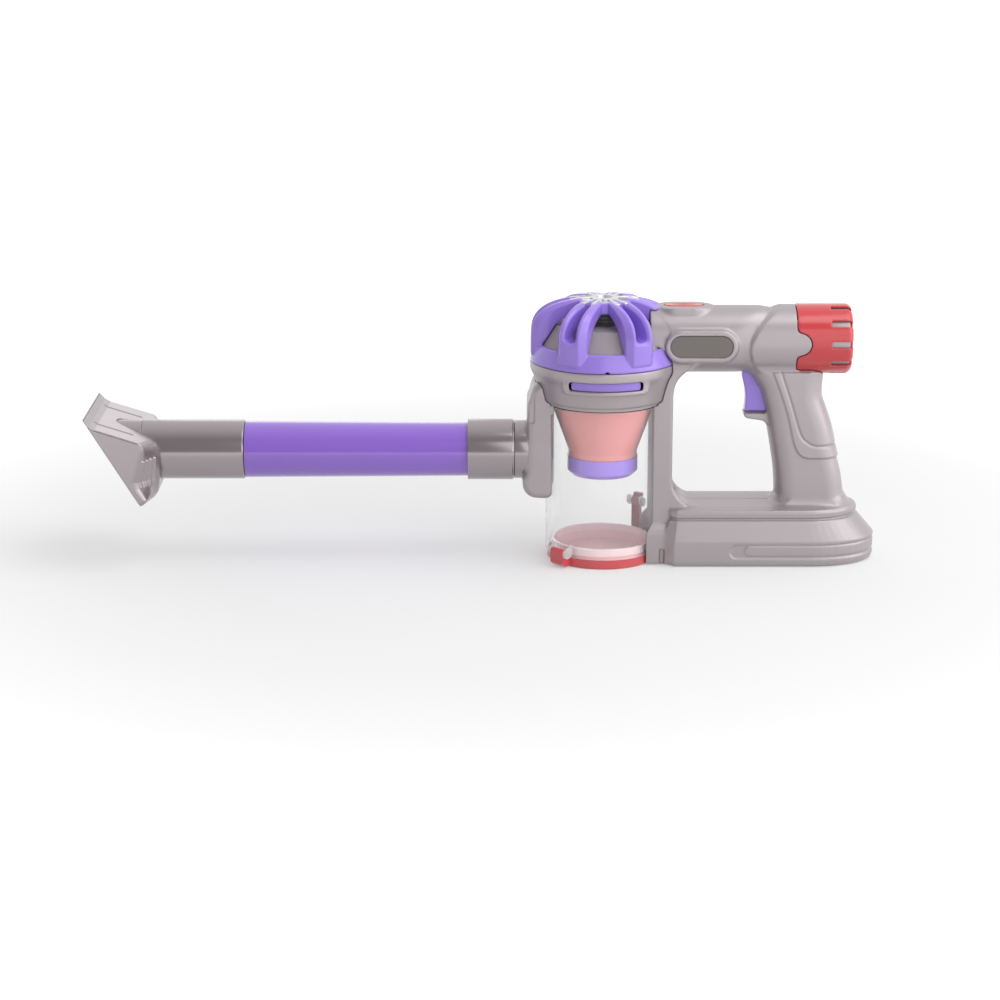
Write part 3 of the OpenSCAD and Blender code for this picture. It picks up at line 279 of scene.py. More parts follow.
def net(field, lo, step):
    """Points and four-sided faces of the surface where a field's block is zero."""
    inside = field < 0
    shape = np.array(field.shape) - 1
    count = sum(inside[dx:dx + shape[0], dy:dy + shape[1], dz:dz + shape[2]].astype(np.int8)
                for dx in (0, 1) for dy in (0, 1) for dz in (0, 1))
    cells = np.argwhere((count > 0) & (count < 8))
    index = np.full(shape, -1, np.int64)
    index[tuple(cells.T)] = np.arange(len(cells))
    total = np.zeros((len(cells), 3))
    hits = np.zeros(len(cells))
    for axis in range(3):
        for du, dv in ((0, 0), (0, 1), (1, 0), (1, 1)):
            start = np.zeros(3, int)
            start[(axis + 1) % 3], start[(axis + 2) % 3] = du, dv
            end = start.copy()
            end[axis] = 1
            a = field[tuple((cells + start).T)]
            b = field[tuple((cells + end).T)]
            hit = (a < 0) != (b < 0)
            t = np.where(hit, a / np.where(hit, a - b, 1), 0)
            place = start[None, :] + t[:, None] * (end - start)[None, :]
            total += np.where(hit[:, None], place, 0)
            hits += hit
    points = lo + step * (cells + total / hits[:, None])
    faces = []
    for axis in range(3):
        u, v = (axis + 1) % 3, (axis + 2) % 3
        ahead = np.roll(inside, -1, axis)
        edges = np.argwhere(inside != ahead)
        edges = edges[np.all((edges > 0) & (edges < shape), axis=1)]
        leaving = inside[tuple(edges.T)]
        ring = []
        for du, dv in ((1, 1), (0, 1), (0, 0), (1, 0)):
            cell = edges.copy()
            cell[:, u] -= du
            cell[:, v] -= dv
            ring.append(index[tuple(cell.T)])
        quad = np.stack(ring, axis=1)
        faces.append(np.where(leaving[:, None], quad, quad[:, ::-1]))
    faces = np.concatenate(faces)
    return points, faces[np.all(faces >= 0, axis=1)]


def add_object(name, data):
    """New object in the scene."""
    obj = bpy.data.objects.new(name, data)
    bpy.context.scene.collection.objects.link(obj)
    return obj


def put(name, points, faces, body, replaced, slot, finish, normals=None):
    """Adds a piece in millimetres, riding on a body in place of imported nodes; its slot gives the finish."""
    mesh = bpy.data.meshes.new(name)
    inside = np.clip(np.asarray(points) * MM, cad_bounds[0], cad_bounds[1])
    mesh.from_pydata(inside.tolist(), [], [list(f) for f in faces])
    mesh.polygons.foreach_set("use_smooth", [True] * len(mesh.polygons))
    if normals is not None:
        mesh.normals_split_custom_set_from_vertices(normals.tolist())
    mesh.materials.append(finish or SLOT_FINISH[slot])
    piece = add_object(name, mesh)
    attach(piece, body)
    if replaced:
        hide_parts(*replaced)
    return piece


def thinned(points, faces, keep):
    """The same surface with fewer points where it is nearly flat."""
    mesh = bpy.data.meshes.new("thinned")
    mesh.from_pydata(points.tolist(), [], faces.tolist())
    helper = add_object("thinned", mesh)
    helper.modifiers.new("thin", "DECIMATE").ratio = keep
    result = helper.evaluated_get(bpy.context.evaluated_depsgraph_get()).to_mesh()
    new_points = np.array([v.co for v in result.vertices])
    new_faces = [list(p.vertices) for p in result.polygons]
    bpy.data.objects.remove(helper)
    bpy.data.meshes.remove(mesh)
    return new_points, new_faces


def mould(name, field, lo, hi, step, body, replaced, slot, finish=None, keep=0.4):
    """Meshes a distance field inside a box, thins it, pulls it back to the surface and adds the piece."""
    x, y, z = grid(lo, hi, step)
    start = np.array([x.min(), y.min(), z.min()])
    values = np.ascontiguousarray(np.broadcast_to(field(x, y, z), (x.size, y.size, z.size)))
    points, faces = thinned(*net(values, start, step), keep)
    for _ in range(SNAP_ROUNDS):
        away = slope(values, start, step, points)
        points = points - away * np.clip(sample(values, start, step, points), -step, step)[:, None]
    normals = slope(values, start, step, points)
    return put(name, points, faces, body, replaced, slot, finish, normals)


def rounded(profile, r, steps=4):
    """Closed profile with its corners rounded to about r."""
    out = []
    n = len(profile)
    for i in range(n):
        p, q, s = (np.array(profile[j % n], float) for j in (i - 1, i, i + 1))
        a, b = p - q, s - q
        la, lb = np.linalg.norm(a), np.linalg.norm(b)
        d = min(r, 0.45 * la, 0.45 * lb)
        if q[0] < 1e-6 or d < 1e-6:
            out.append(tuple(q))
            continue
        start, end = q + a / la * d, q + b / lb * d
        for t in np.linspace(0, 1, steps + 1):
            out.append(tuple((1 - t) ** 2 * start + 2 * t * (1 - t) * q + t ** 2 * end))
    return out


def lathe(name, profile, r, axis, height, body, replaced, slot, finish=None):
    """Turns a closed profile of (radius, place along the axis), rounded to r, about Z or X at a height."""
    profile = np.array(rounded(profile, r), float)
    angle = 2 * np.pi * np.arange(LATHE_SIDES) / LATHE_SIDES
    along = np.repeat(profile[:, 1][:, None], LATHE_SIDES, axis=1)
    c, s = profile[:, :1] * np.cos(angle), profile[:, :1] * np.sin(angle)
    points = np.stack([along, c, s] if axis == "x" else [c, s, along], axis=2).reshape(-1, 3)
    n = len(profile)
    faces = []
    for i in range(n):
        row, next_row = i * LATHE_SIDES, (i + 1) % n * LATHE_SIDES
        for j in range(LATHE_SIDES):
            k = (j + 1) % LATHE_SIDES
            faces.append([row + j, row + k, next_row + k, next_row + j])
    piece = put(name, points + np.array([0, 0, height]), faces, body, replaced, slot, finish)
    piece.data.validate()
    piece.modifiers.new("weld", "WELD").merge_threshold = WELD_GAP
    return piece


# Materials

DRIFT, WEAR, GRAIN = (22, 3), (90, 5), (1400, 2)  # scale and detail of the noises
FLAKE_SCALE = 2600
GRAIN_DEPTH = 0.00008
GLOSS_DRIFT = 0.02
COAT_ROUGH = 0.12


def set_inputs(node, values):
    """Sets a node's own values."""
    for socket, value in values.items():
        node.inputs[socket].default_value = value


def new_material(name):
    """New material, its node tree and its shader."""
    m = bpy.data.materials.new(name)
    m.use_nodes = True
    return m, m.node_tree, m.node_tree.nodes["Principled BSDF"]


def noise(tree, place, scale, detail):
    """Output of a noise texture."""
    node = tree.nodes.new("ShaderNodeTexNoise")
    set_inputs(node, {"Scale": scale, "Detail": detail})
    tree.links.new(place, node.inputs["Vector"])
    return node.outputs["Fac"]


def map_range(tree, value, source=(0, 1), target=(0, 1), kind="LINEAR"):
    """Output of a node that maps a range of a value to another range."""
    node = tree.nodes.new("ShaderNodeMapRange")
    node.interpolation_type = kind
    set_inputs(node, dict(zip(("From Min", "From Max", "To Min", "To Max"), (*source, *target))))
    tree.links.new(value, node.inputs["Value"])
    return node.outputs["Result"]


def math_node(tree, operation, first, second):
    """Output of a Math node on two sockets."""
    node = tree.nodes.new("ShaderNodeMath")
    node.operation = operation
    tree.links.new(first, node.inputs[0])
    tree.links.new(second, node.inputs[1])
    return node.outputs[0]


def plastic(name, colour, rough, grain=0.0, coat=0.0, mica=0.0, mottle=0.012, see_through=0.0, ior=1.49,
            metallic=0.0):
    """Moulded plastic: slight colour drift, uneven gloss, fine mould grain and, if asked, pearl flakes."""
    m, tree, shader = new_material(name)
    nodes, links = tree.nodes, tree.links
    place = nodes.new("ShaderNodeTexCoord").outputs["Object"]
    tint = nodes.new("ShaderNodeValToRGB")
    low, high = tint.color_ramp.elements
    low.position, high.position = 0.3, 0.7
    low.color = (*(c * (1 - mottle) for c in colour), 1)
    high.color = (*(min(1, c * (1 + mottle)) for c in colour), 1)
    links.new(noise(tree, place, *DRIFT), tint.inputs["Fac"])
    colour_out = tint.outputs["Color"]
    if mica:
        flakes = nodes.new("ShaderNodeTexVoronoi")
        flakes.inputs["Scale"].default_value = FLAKE_SCALE
        links.new(place, flakes.inputs["Vector"])
        lift = nodes.new("ShaderNodeVectorMath")
        lift.operation = "SCALE"
        links.new(colour_out, lift.inputs[0])
        links.new(map_range(tree, flakes.outputs["Distance"], target=(1 - mica, 1 + mica)),
                  lift.inputs["Scale"])
        colour_out = lift.outputs["Vector"]
    links.new(colour_out, shader.inputs["Base Color"])
    gloss = (max(GLOSS_DRIFT, rough - GLOSS_DRIFT), rough + GLOSS_DRIFT)
    links.new(map_range(tree, noise(tree, place, *WEAR), target=gloss), shader.inputs["Roughness"])
    if grain:
        bump = nodes.new("ShaderNodeBump")
        set_inputs(bump, {"Strength": grain, "Distance": GRAIN_DEPTH})
        links.new(noise(tree, place, *GRAIN), bump.inputs["Height"])
        links.new(bump.outputs["Normal"], shader.inputs["Normal"])
    set_inputs(shader, {"IOR": ior, "Metallic": metallic, "Coat Weight": coat, "Coat Roughness": COAT_ROUGH,
                        "Transmission Weight": see_through})
    return m


def metal(name, colour, rough):
    """Plated metal with fine drawn marks."""
    return plastic(name, colour, rough, grain=0.25, metallic=1.0)


GREY = plastic("grey_pearl_plastic", (0.45, 0.405, 0.42), 0.38, grain=0.1, mica=0.05, metallic=0.5)
DARK = plastic("dark_grey_pearl_plastic", (0.38, 0.337, 0.353), 0.19, grain=0.04, mica=0.04, metallic=0.9)
SKIRT = plastic("grey_matt_plastic", (0.36, 0.325, 0.34), 0.55, grain=0.15, mica=0.04)
PURPLE = plastic("purple_satin_plastic", (0.37, 0.235, 0.82), 0.25, grain=0.03, coat=0.4)
TUBE = plastic("purple_tube_plastic", (0.31, 0.145, 0.73), 0.12, grain=0.02, coat=1.0)
RED = plastic("red_gloss_plastic", (0.66, 0.045, 0.055), 0.2, grain=0.03, coat=0.5)
LID_RED_HAZED = plastic("red_lid_plastic", (0.76, 0.1, 0.115), 0.22, grain=0.03, coat=0.5)
# The funnel's red is lightened to pink: painted reflection of the clear bin's white haze over a saturated red
CONE_HAZED_RED = plastic("red_funnel_plastic", (0.82, 0.31, 0.3), 0.16, grain=0.02, coat=0.6)
LATCH_RED = plastic("dark_red_plastic", (0.3, 0.012, 0.03), 0.25, grain=0.04, coat=0.3)
LABEL = plastic("label_plate", (0.2, 0.18, 0.165), 0.42, grain=0.35, mica=0.12)
SILVER = metal("silver_plated_plastic", (0.72, 0.71, 0.73), 0.3)
STEEL = metal("steel", (0.6, 0.6, 0.62), 0.3)
BRASS = metal("plated_contact", (0.72, 0.68, 0.55), 0.3)
BLACK = plastic("dark_moulded_plastic", (0.075, 0.07, 0.072), 0.42, grain=0.3)
BOARD = plastic("coated_board", (0.03, 0.13, 0.05), 0.35, grain=0.3)
CELL = plastic("cell_sleeve", (0.03, 0.03, 0.035), 0.3, grain=0.1)
FOAM = plastic("filter_foam", (0.03, 0.03, 0.033), 0.9, grain=1.0, mottle=0.3)
FAN = plastic("fan_plastic", (0.7, 0.68, 0.62), 0.4, grain=0.2)
RUBBER = plastic("seal_rubber", (0.015, 0.015, 0.016), 0.6, grain=0.4)
CLEAR = plastic("clear_bin_plastic", (0.985, 0.988, 0.99), 0.03, mottle=0.005, see_through=0.97, ior=1.4)
BRACKET = plastic("clear_bracket_plastic", (0.93, 0.9, 0.91), 0.3, grain=0.1, see_through=0.6, ior=1.4)
HEAD = plastic("grey_gloss_plastic", (0.4, 0.355, 0.37), 0.24, grain=0.04, mica=0.04, metallic=0.85)

SLOT_FINISH = {
    "grey_shell": GREY, "dark_grey": DARK, "purple": PURPLE, "red": RED, "dark_red": LATCH_RED,
    "clear": CLEAR, "silver": SILVER, "label": LABEL, "steel": STEEL, "black_plastic": BLACK,
    "board": BOARD, "filter": FOAM, "cell": CELL, "contact": BRASS, "motor": STEEL, "fan": FAN,
    "seal": RUBBER,
}
NODE_FINISH = {"bin_lid": LID_RED_HAZED}

# Painted reflection: the lid's red fades to pale at the top of its disc and in its middle, standing for the
# clear bin's white haze. Places are shares of the lid's box.
LID_HAZE_COLOUR = (0.93, 0.74, 0.75)
HAZE_RISE = (0.5, 0.66)
HAZE_DISC_R = 0.495
HAZE_FLOOR_R = (0.47, 0.455)
LID_FLOOR_HAZE = 0.85


def paint_lid_haze(material):
    """Painted reflection: fades the lid's colour to the pale haze colour near the top of its disc, and partly
    in its middle.
    """
    tree = material.node_tree
    nodes, links = tree.nodes, tree.links
    shader = nodes["Principled BSDF"]
    place = nodes.new("ShaderNodeTexCoord")
    apart = nodes.new("ShaderNodeSeparateXYZ")
    links.new(place.outputs["Generated"], apart.inputs["Vector"])
    flat = nodes.new("ShaderNodeCombineXYZ")
    for axis in "XY":
        links.new(apart.outputs[axis], flat.inputs[axis])
    from_middle = nodes.new("ShaderNodeVectorMath")
    from_middle.operation = "DISTANCE"
    from_middle.inputs[1].default_value = (0.5, 0.5, 0)
    links.new(flat.outputs["Vector"], from_middle.inputs[0])
    disc = nodes.new("ShaderNodeMath")
    disc.operation = "LESS_THAN"
    disc.inputs[1].default_value = HAZE_DISC_R
    links.new(from_middle.outputs["Value"], disc.inputs[0])
    plug_haze = math_node(tree, "MULTIPLY", map_range(tree, apart.outputs["Z"], HAZE_RISE), disc.outputs[0])
    floor = map_range(tree, from_middle.outputs["Value"], HAZE_FLOOR_R, (0, LID_FLOOR_HAZE))
    haze_blend = nodes.new("ShaderNodeMixRGB")
    haze_blend.inputs["Color2"].default_value = (*LID_HAZE_COLOUR, 1)
    links.new(math_node(tree, "MAXIMUM", plug_haze, floor), haze_blend.inputs["Fac"])
    links.new(shader.inputs["Base Color"].links[0].from_socket, haze_blend.inputs["Color1"])
    links.new(haze_blend.outputs["Color"], shader.inputs["Base Color"])


# Painted reflection of the clear bin's white haze on the red lid
paint_lid_haze(LID_RED_HAZED)
for part in frame["record"]["subparts"]:
    node = frame["nodes"][part["node"]]
    node.data.materials.clear()
    node.data.materials.append(NODE_FINISH.get(part["node"], SLOT_FINISH[part["material_slot"]]))


# Room that the bin, ring and dome take

RING_DROP, RING_LAP = 1.5, 2
RING_H = ring_z1 - ring_z0
COLLAR_Z0 = ring_z0 - 3.6
BAND_Z1 = ring_z1 + 12.8
CROWN_Z0 = ring_z1 + 18
RING_LINE = smooth_line(
    around(collar_r, ring_z0, [
        (1.6, -RING_DROP), (2.6, 1.2 - RING_DROP), (2.9, 0), (3.5, 0.12 * RING_H), (4.6, 0.3 * RING_H)])
    + around(dome_r, ring_z0, [(-2.6, 0.56 * RING_H), (-0.8, 0.7 * RING_H), (0, 0.8 * RING_H)])
    + [(dome_r, ring_z1)], 4)


def ring_radius(z):
    """Outer radius of the housing ring at a height."""
    return np.interp(z, [p[1] for p in RING_LINE], [p[0] for p in RING_LINE])


def cyclone_room(x, y, z, gap):
    """Room of the bin, its collar, the housing ring and the dome, grown by a gap."""
    r = np.hypot(x, y)
    over_bin = z - ring_z0 - RING_LAP
    bin_wall = both(r - bin_r, over_bin)
    band = both(r - collar_r, COLLAR_Z0 - z, over_bin)
    flare = both(r - ring_radius(z), ring_z0 - RING_DROP - z, z - CROWN_Z0)
    crown = ellipse(r, np.maximum(z - CROWN_Z0, 0), dome_r, dome_hi[2] - CROWN_Z0)
    return either(bin_wall, band, flare, both(crown, ring_z1 - z)) - gap


# Line between drum and cap

CAP_X, CAP_BACK = cap_lo[0], 30
TAB_L, TAB_W, TAB_SINK, TAB_FILLET = 10.4, 17, 1, 3.5


def cap_edge(x, z):
    """Line where the drum ends and the cap starts, with the drum's round tongue; negative on the drum."""
    tongue = ellipse(x - CAP_X - TAB_SINK, z - barrel_z, TAB_L - TAB_SINK, TAB_W / 2)
    return join(x - CAP_X, tongue, TAB_FILLET)


# Clamshell body: base

STEP_RUN = 1.2
BASE_X, BASE_H, WALL_H = 43.6, 42.9, 19.2
BASE_ROUND, ROUND_STEPS = 47, 25
BASE_ROUND_X = base_x1 - BASE_ROUND
CORNER_RUN, CORNER_CUT = 8, 7
TAIL_LEAN, TAIL_RISE, TAIL_X, TAIL_RUN = 8, 15, 120, 60
BASE_PROFILE = [  # distance out from the plan's edge, height
    (-60, 0), (-3.6, 0), (-1.2, 1.3), (-0.2, 4.2), (0, 9), (0, WALL_H), (-4.6, 33.4), (-6.3, 34.2),
    (-6.3, 35.4), (-5.2, 35.9), (-5, 39.4), (-6.4, 41.3), (-14, 42.4), (-26, BASE_H), (-60, BASE_H),
]
GROOVE_X, GROOVE_Z, GROOVE_H, GROOVE_D = 92, 11.8, 10.4, 0.9
BAR_X, BAR_Z, BAR_H, BAR_FILL = 102.5, 12.2, 7.4, 0.85
GROOVE_RUN = 200


def base_field(x, y, z):
    """Battery base: bevelled block under a crowned plate, with a long groove that wraps round its rear."""
    turn = np.linspace(-np.pi / 2, np.pi / 2, ROUND_STEPS)
    plan = [(BASE_ROUND_X + BASE_ROUND * math.cos(a), base_half * math.sin(a)) for a in turn]
    side = base_half - CORNER_CUT
    plan += [(BASE_X + CORNER_RUN, base_half), (BASE_X, side), (BASE_X, -side),
             (BASE_X + CORNER_RUN, -base_half)]
    lean = np.clip((z - WALL_H) / TAIL_RISE, 0, 1) * np.clip((x - TAIL_X) / TAIL_RUN, 0, 1)
    d = outline(outline(x + TAIL_LEAN * lean, y, plan), z, BASE_PROFILE)
    groove = pill(x - GROOVE_X - GROOVE_RUN / 2, z - GROOVE_Z, GROOVE_RUN, GROOVE_H)
    bar = pill(x - BAR_X - GROOVE_RUN / 2, z - BAR_Z, GROOVE_RUN, BAR_H)
    return d + GROOVE_D * (stepped(groove, STEP_RUN) - BAR_FILL * stepped(bar, STEP_RUN))


# Clamshell body: grip

GRIP_X, GRIP_D, GRIP_HALF, GRIP_EDGE = 128, 50, 17, 13.5
GRIP_H = barrel_z - BASE_H
GRIP_SHARES = [  # share of the height, front and back as shares of the depth
    (-0.06, -0.05, 1.02), (0.03, -0.045, 1.01), (0.06, -0.035, 0.97), (0.185, -0.054, 0.92),
    (0.333, -0.108, 0.826), (0.465, -0.166, 0.756), (0.568, -0.21, 0.674), (0.652, -0.264, 0.6),
    (0.71, -0.31, 0.592), (0.794, -0.44, 0.606), (0.9, -0.6, 0.64),
]
PANEL_GROOVE = smooth_line([
    (127.6, 141.7), (135.4, 119), (142.6, 95.9), (148.5, 89.2), (155.9, 86.5), (175, 86.9),
], 4)
PANEL_EDGE = smooth_line([
    (121.9, 141.7), (128, 126), (134, 107.1), (138.4, 88.4), (143, 80.2), (148.9, 77.6),
], 4) + [(178, 77.6), (178, 141.7)]
PANEL_RISE, LINE_DEPTH, LINE_W = 1.3, 1.1, 0.8


def grip_field(x, y, z):
    """Pistol grip with a raised side panel and a thin groove inside the panel's edge."""
    front, back = (
        smooth_line(around(GRIP_X, BASE_H, [(row[side], row[0]) for row in GRIP_SHARES], GRIP_D, GRIP_H), 3)
        for side in (1, 2))
    d = slab(outline(x, z, front + back[::-1]), y, GRIP_HALF, GRIP_EDGE)
    d = d - PANEL_RISE * stepped(outline(x, z, PANEL_EDGE), STEP_RUN)
    return d + LINE_DEPTH * ridge(line_gap(x, z, PANEL_GROOVE), LINE_W)


# Clamshell body: barrel

BARREL_X0, BARREL_R, DRUM_R = 20, cap_r - 1.1, cap_r - 0.5
DRUM_X, DRUM_RUN = 105, 3.2
BOW_Z, BOW_UP, BOW_DOWN = 4, 0.026, 0.02
WAIST_RUN, WAIST_DEPTH = 9, 1.6
BUTTON_PAD_L, BUTTON_PAD_W, BUTTON_PAD_RISE = 41, 28, 0.3
BUTTON_GAP, BUTTON_WELL = 1, 12
RIM_GROW, RIM_RISE, RIM_EDGE = 8.4, 0.4, 2.2
PLATE_GAP, PLATE_SINK = 0.6, 1.2
KEEP_X, NOSE_X = 39.5, 33
RIM_X0, NOSE_Z0 = KEEP_X - 1, BAND_Z1 + 0.5


def label_oval(x, z, grow):
    """Outline of the label plates, made larger."""
    return pill(x - label_mid[0], z - label_mid[2], label_size[0] + grow, label_size[2] + grow)


def barrel_field(x, y, z):
    """Barrel with a waist before the rear drum, a button pad on top and raised rims for the label plates."""
    up = z - barrel_z
    start = DRUM_X + BOW_UP * np.maximum(up + BOW_Z, 0) ** 2 + BOW_DOWN * np.maximum(-BOW_Z - up, 0) ** 2
    swell = stepped(start - x, DRUM_RUN)
    swell = swell * swell * (3 - 2 * swell)
    waist = ridge(np.minimum(x - start, 0), WAIST_RUN)
    d = np.hypot(y, up) - BARREL_R - (DRUM_R - BARREL_R) * swell + WAIST_DEPTH * waist * (1 - swell)
    d = meet(d, cap_edge(x, z) + SEAT / 2, 0.6)
    d = both(d, BARREL_X0 - x)
    pad = pill(x - button_mid[0], y, BUTTON_PAD_L, BUTTON_PAD_W)
    pad = slab(pad, up, BARREL_R + BUTTON_PAD_RISE, 1.5)
    d = join(d, both(pad, -up), 2.5)
    d = join(d, slab(label_oval(x, z, RIM_GROW), y, label_hi[1] + RIM_RISE, RIM_EDGE), 2.2)
    d = cut(d, slab(label_oval(x, z, PLATE_GAP), np.abs(y) - label_hi[1], PLATE_SINK, 0.3), 0.8)
    button = pill(x - button_mid[0], y, button_size[0] + BUTTON_GAP, button_size[1] + BUTTON_GAP)
    return cut(d, slab(button, z - button_hi[2], BUTTON_WELL, 0.3), 0.7)


def body_front(x, y, z):
    """Front end of the barrel and of the label rims, which reach into the dome's outline."""
    round_wall = np.hypot(y, z - barrel_z) - BARREL_R
    rim = both(label_oval(x, z, RIM_GROW), RIM_X0 - x, np.abs(y) - label_hi[1] - RIM_RISE)
    nose = both(round_wall, NOSE_X - x, NOSE_Z0 - z)
    return either(rim, both(round_wall, KEEP_X - x), nose)


# Clamshell body: strut, small forms and halves

STRUT_X, STRUT_HALF = 50, 22
STRUT_TOP = barrel_z - BARREL_R + 1
STRUT_LINE = smooth_line(
    [(20, 30), (STRUT_X + 19, 30)]
    + around(STRUT_X, BASE_H, [(19, -2.4), (12, 0.6), (5, 6), (1, 14), (0, 23), (0, 26)])
    + around(STRUT_X, STRUT_TOP, [
        (0, -19), (0, -16), (0.8, -9.5), (2.6, -4.6), (5.4, -0.8), (9.5, 3), (16, 10)])
    + [(STRUT_X + 16, barrel_z - 8), (20, barrel_z - 8)], 4)
CHANNEL = (STRUT_X - 2.6, -15.5, 47), (70, 15.5, 134)
LEDGE_HALF = 8.5
LEDGE_LINE = smooth_line([
    (102.4, 109.4), (102.4, 107.6), (105, 105.4), (116, 103.6), (121, 100.5), (130, 104), (130, 109.4),
], 3)
TONGUE, TONGUE_BEVEL = ((20, -28, 0.8), (58, 28, 30.8)), 6
NOTCH = (41.2, 25.5, 1.6), (44.6, 40, 12)
TRIGGER_ROOM = ((trigger_lo[0] - 0.5, -trigger_hi[1] - 0.5, trigger_lo[2] - 1.1),
                (trigger_hi[0] + 8, trigger_hi[1] + 0.5, trigger_hi[2] + 1.1))
DOOR_ROOM = ((door_lo[0] - 0.4, door_lo[1] - 0.4, -5), (door_hi[0] + 0.4, door_hi[1] + 0.4, door_hi[2] + 0.2))
CAP_CUT_X, HAIR = CAP_X - 2, 0.01
SCREWS = [
    (BASE_X + CORNER_RUN, 10.8), (BASE_ROUND_X + BASE_ROUND * 0.66, 10.8),
] + around(GRIP_X, BASE_H, [(0.45, 0.14), (0.36, 0.6)], GRIP_D, GRIP_H)
SCREW_HEAD_R, SCREW_SEAT = 3, 6
HALF_EDGE = 0.35
BODY_STEP = 0.7


def body_field(x, y, z):
    """Whole clamshell, the same on both sides."""
    y = np.abs(y)
    tongue_bevel = (y + z - TONGUE[1][1] - TONGUE[1][2] + TONGUE_BEVEL) * math.sqrt(0.5)
    d = join(base_field(x, y, z), grip_field(x, y, z), 7)
    d = join(d, slab(outline(x, z, STRUT_LINE), y, STRUT_HALF, 2.2), 2.5)
    d = join(barrel_field(x, y, z), d, 5)
    d = cut(d, block(x, y, z, *CHANNEL, 2), 1.6)
    d = join(d, slab(outline(x, z, LEDGE_LINE), y, LEDGE_HALF, 1.2), 3)
    d = join(d, meet(block(x, y, z, *TONGUE, 1.2), tongue_bevel, 2), 1.5)
    d = cut(d, block(x, y, z, *NOTCH, 0.6), 0.6)
    d = cut(d, block(x, y, z, *TRIGGER_ROOM, 0.3), 0.7)
    d = cut(d, block(x, y, z, *DOOR_ROOM, 0.3), 0.4)
    drum = np.hypot(y, z - barrel_z) - cap_r
    cap_room = both(drum - SEAT, -cap_edge(x, z) - HAIR, CAP_X - x - CAP_BACK)
    d = np.where(x > CAP_CUT_X, cut(d, cap_room, 0.4), d)
    return cut(d, both(cyclone_room(x, y, z, SEAT), -body_front(x, y, z)), 0.5)


def near_half(x, y, z):
    """Body on the near side of the seam."""
    return meet(body_field(x, y, z), y + SEAM, HALF_EDGE)


def far_half(x, y, z):
    """Body on the far side of the seam, with the screw holes."""
    d = body_field(x, y, z)
    for sx, sz in SCREWS:
        hole = both(np.hypot(x - sx, z - sz) - SCREW_HEAD_R, SCREW_SEAT - y)
        d = cut(d, hole, 0.5)
    return meet(d, SEAM - y, HALF_EDGE)


mould("shell_near", near_half, (shell_lo[0], -base_half, 0), (base_x1, 0, shell_hi[2]), BODY_STEP,
      "body", ["body_near_half"], "grey_shell")
mould("shell_far", far_half, (shell_lo[0], 0, 0), (base_x1, base_half, shell_hi[2]), BODY_STEP,
      "body", ["body_far_half"], "grey_shell")


# Rear cap with the vent behind its slots

CAP_STEP, CAP_ROUND, CAP_WALL = 0.55, 4.5, 2
CAP_PITCH = math.radians(36)
CAP_SLOT_HALF, CAP_SLOT_L, CAP_SLOT_D = 2.2, 15.5, 7
VENT_R, VENT_BORE = cap_r - 2.2, cap_r - 9
VENT_X0, VENT_BACK, VENT_FACE = cap_hi[0] - 17, cap_hi[0] - 4, cap_hi[0] - 2.4


def cap_field(x, y, z):
    """Slotted cup whose open end follows the drum's tongues."""
    up = z - barrel_z
    r = np.hypot(y, up)
    middle, half = (CAP_X - CAP_BACK + cap_hi[0]) / 2, (cap_hi[0] - CAP_X + CAP_BACK) / 2
    d = slab(r - cap_r, x - middle, half, CAP_ROUND)
    d = cut(d, both(r - cap_r + CAP_WALL, x - cap_hi[0] + CAP_WALL), 0.4)
    d = meet(d, SEAT / 2 - cap_edge(x, z), 0.7)
    turn = np.mod(np.arctan2(y, up), CAP_PITCH) - CAP_PITCH / 2
    side = np.abs(r * np.sin(turn)) - CAP_SLOT_HALF
    return cut(d, both(side, cap_hi[0] - CAP_SLOT_L - x, cap_r - CAP_SLOT_D - r), 0.9)


mould("cap_red", cap_field, (CAP_X, -cap_r, cap_lo[2]), (cap_hi[0], cap_r, cap_hi[2]), CAP_STEP,
      "body", ["rear_cap"], "red")
lathe("vent_grey", [
    (VENT_BORE, VENT_X0), (VENT_R, VENT_X0), (VENT_R, VENT_FACE), (0, VENT_FACE), (0, VENT_BACK),
    (VENT_BORE, VENT_BACK),
], 0.6, "x", barrel_z, "body", ["cap_insert"], "grey_shell")


# Dome cage with the skirt inside and the silver hub on top

DOME_STEP, LEGS = 0.65, 6
CROWN_RISE, CROWN_FULL = 28.2, 2.7
WINDOW_AZ = math.radians(-90)
WINDOW_HALF, WINDOW_TAPER, WINDOW_LEAST = 15.6, 0.4, 2.6
LEG_FLAT, FLAT_R, FLAT_RUN, FLAT_LEAST = 4.2, 12, 40, 0.15
FOOT_Z, FOOT_FLAT = ring_z1 + 3.4, 1.4
SLOT_A, SLOT_RISE, SLOT_END, SLOT_FLAT = math.radians(5), 8.2, 4, 1.7
BAND_SLOPE, BAND_WALL, BAND_FLAT, BAND_T, BAND_LIP = 0.46, 1.6, 0.8, 5.6, 5
BAND_SCALE = 0.9
HUB_R, HUB_LAP, HUB_SINK = 18, 2, 0.9
ARM_DEPTH, ROOF_T = 13, 7
WELL_GAP = 0.4
DOT_X, DOT_R = 1, 1.6
SKIRT_Z0, SKIRT_Z1, SKIRT_R0, SKIRT_R1 = BAND_Z1 - 4, skirt_hi[2] - 0.8, 47.2, 35.6
SKIRT_FOOT, SKIRT_BORE, SKIRT_T, SKIRT_CROWN, SKIRT_GAP = skirt_lo[2] + 0.3, 17.2, 2, 0.8, 1
# The silver rays reach out over the legs' tops: real trim near the hub, a painted highlight on the legs' tops
# further out
STAR_STEP, STAR_GLINT_R, STAR_PROUD = 0.38, 25, 0.15
RAY_TURN, RAY_HALF, RAY_FLARE, RAY_R0, RAY_T = math.radians(9.5), 0.9, 0.035, 7, 2.4
EYE_R, EYE_HALF, EYE_T, DISH_DEPTH = 8, 2, 2.6, 1.5

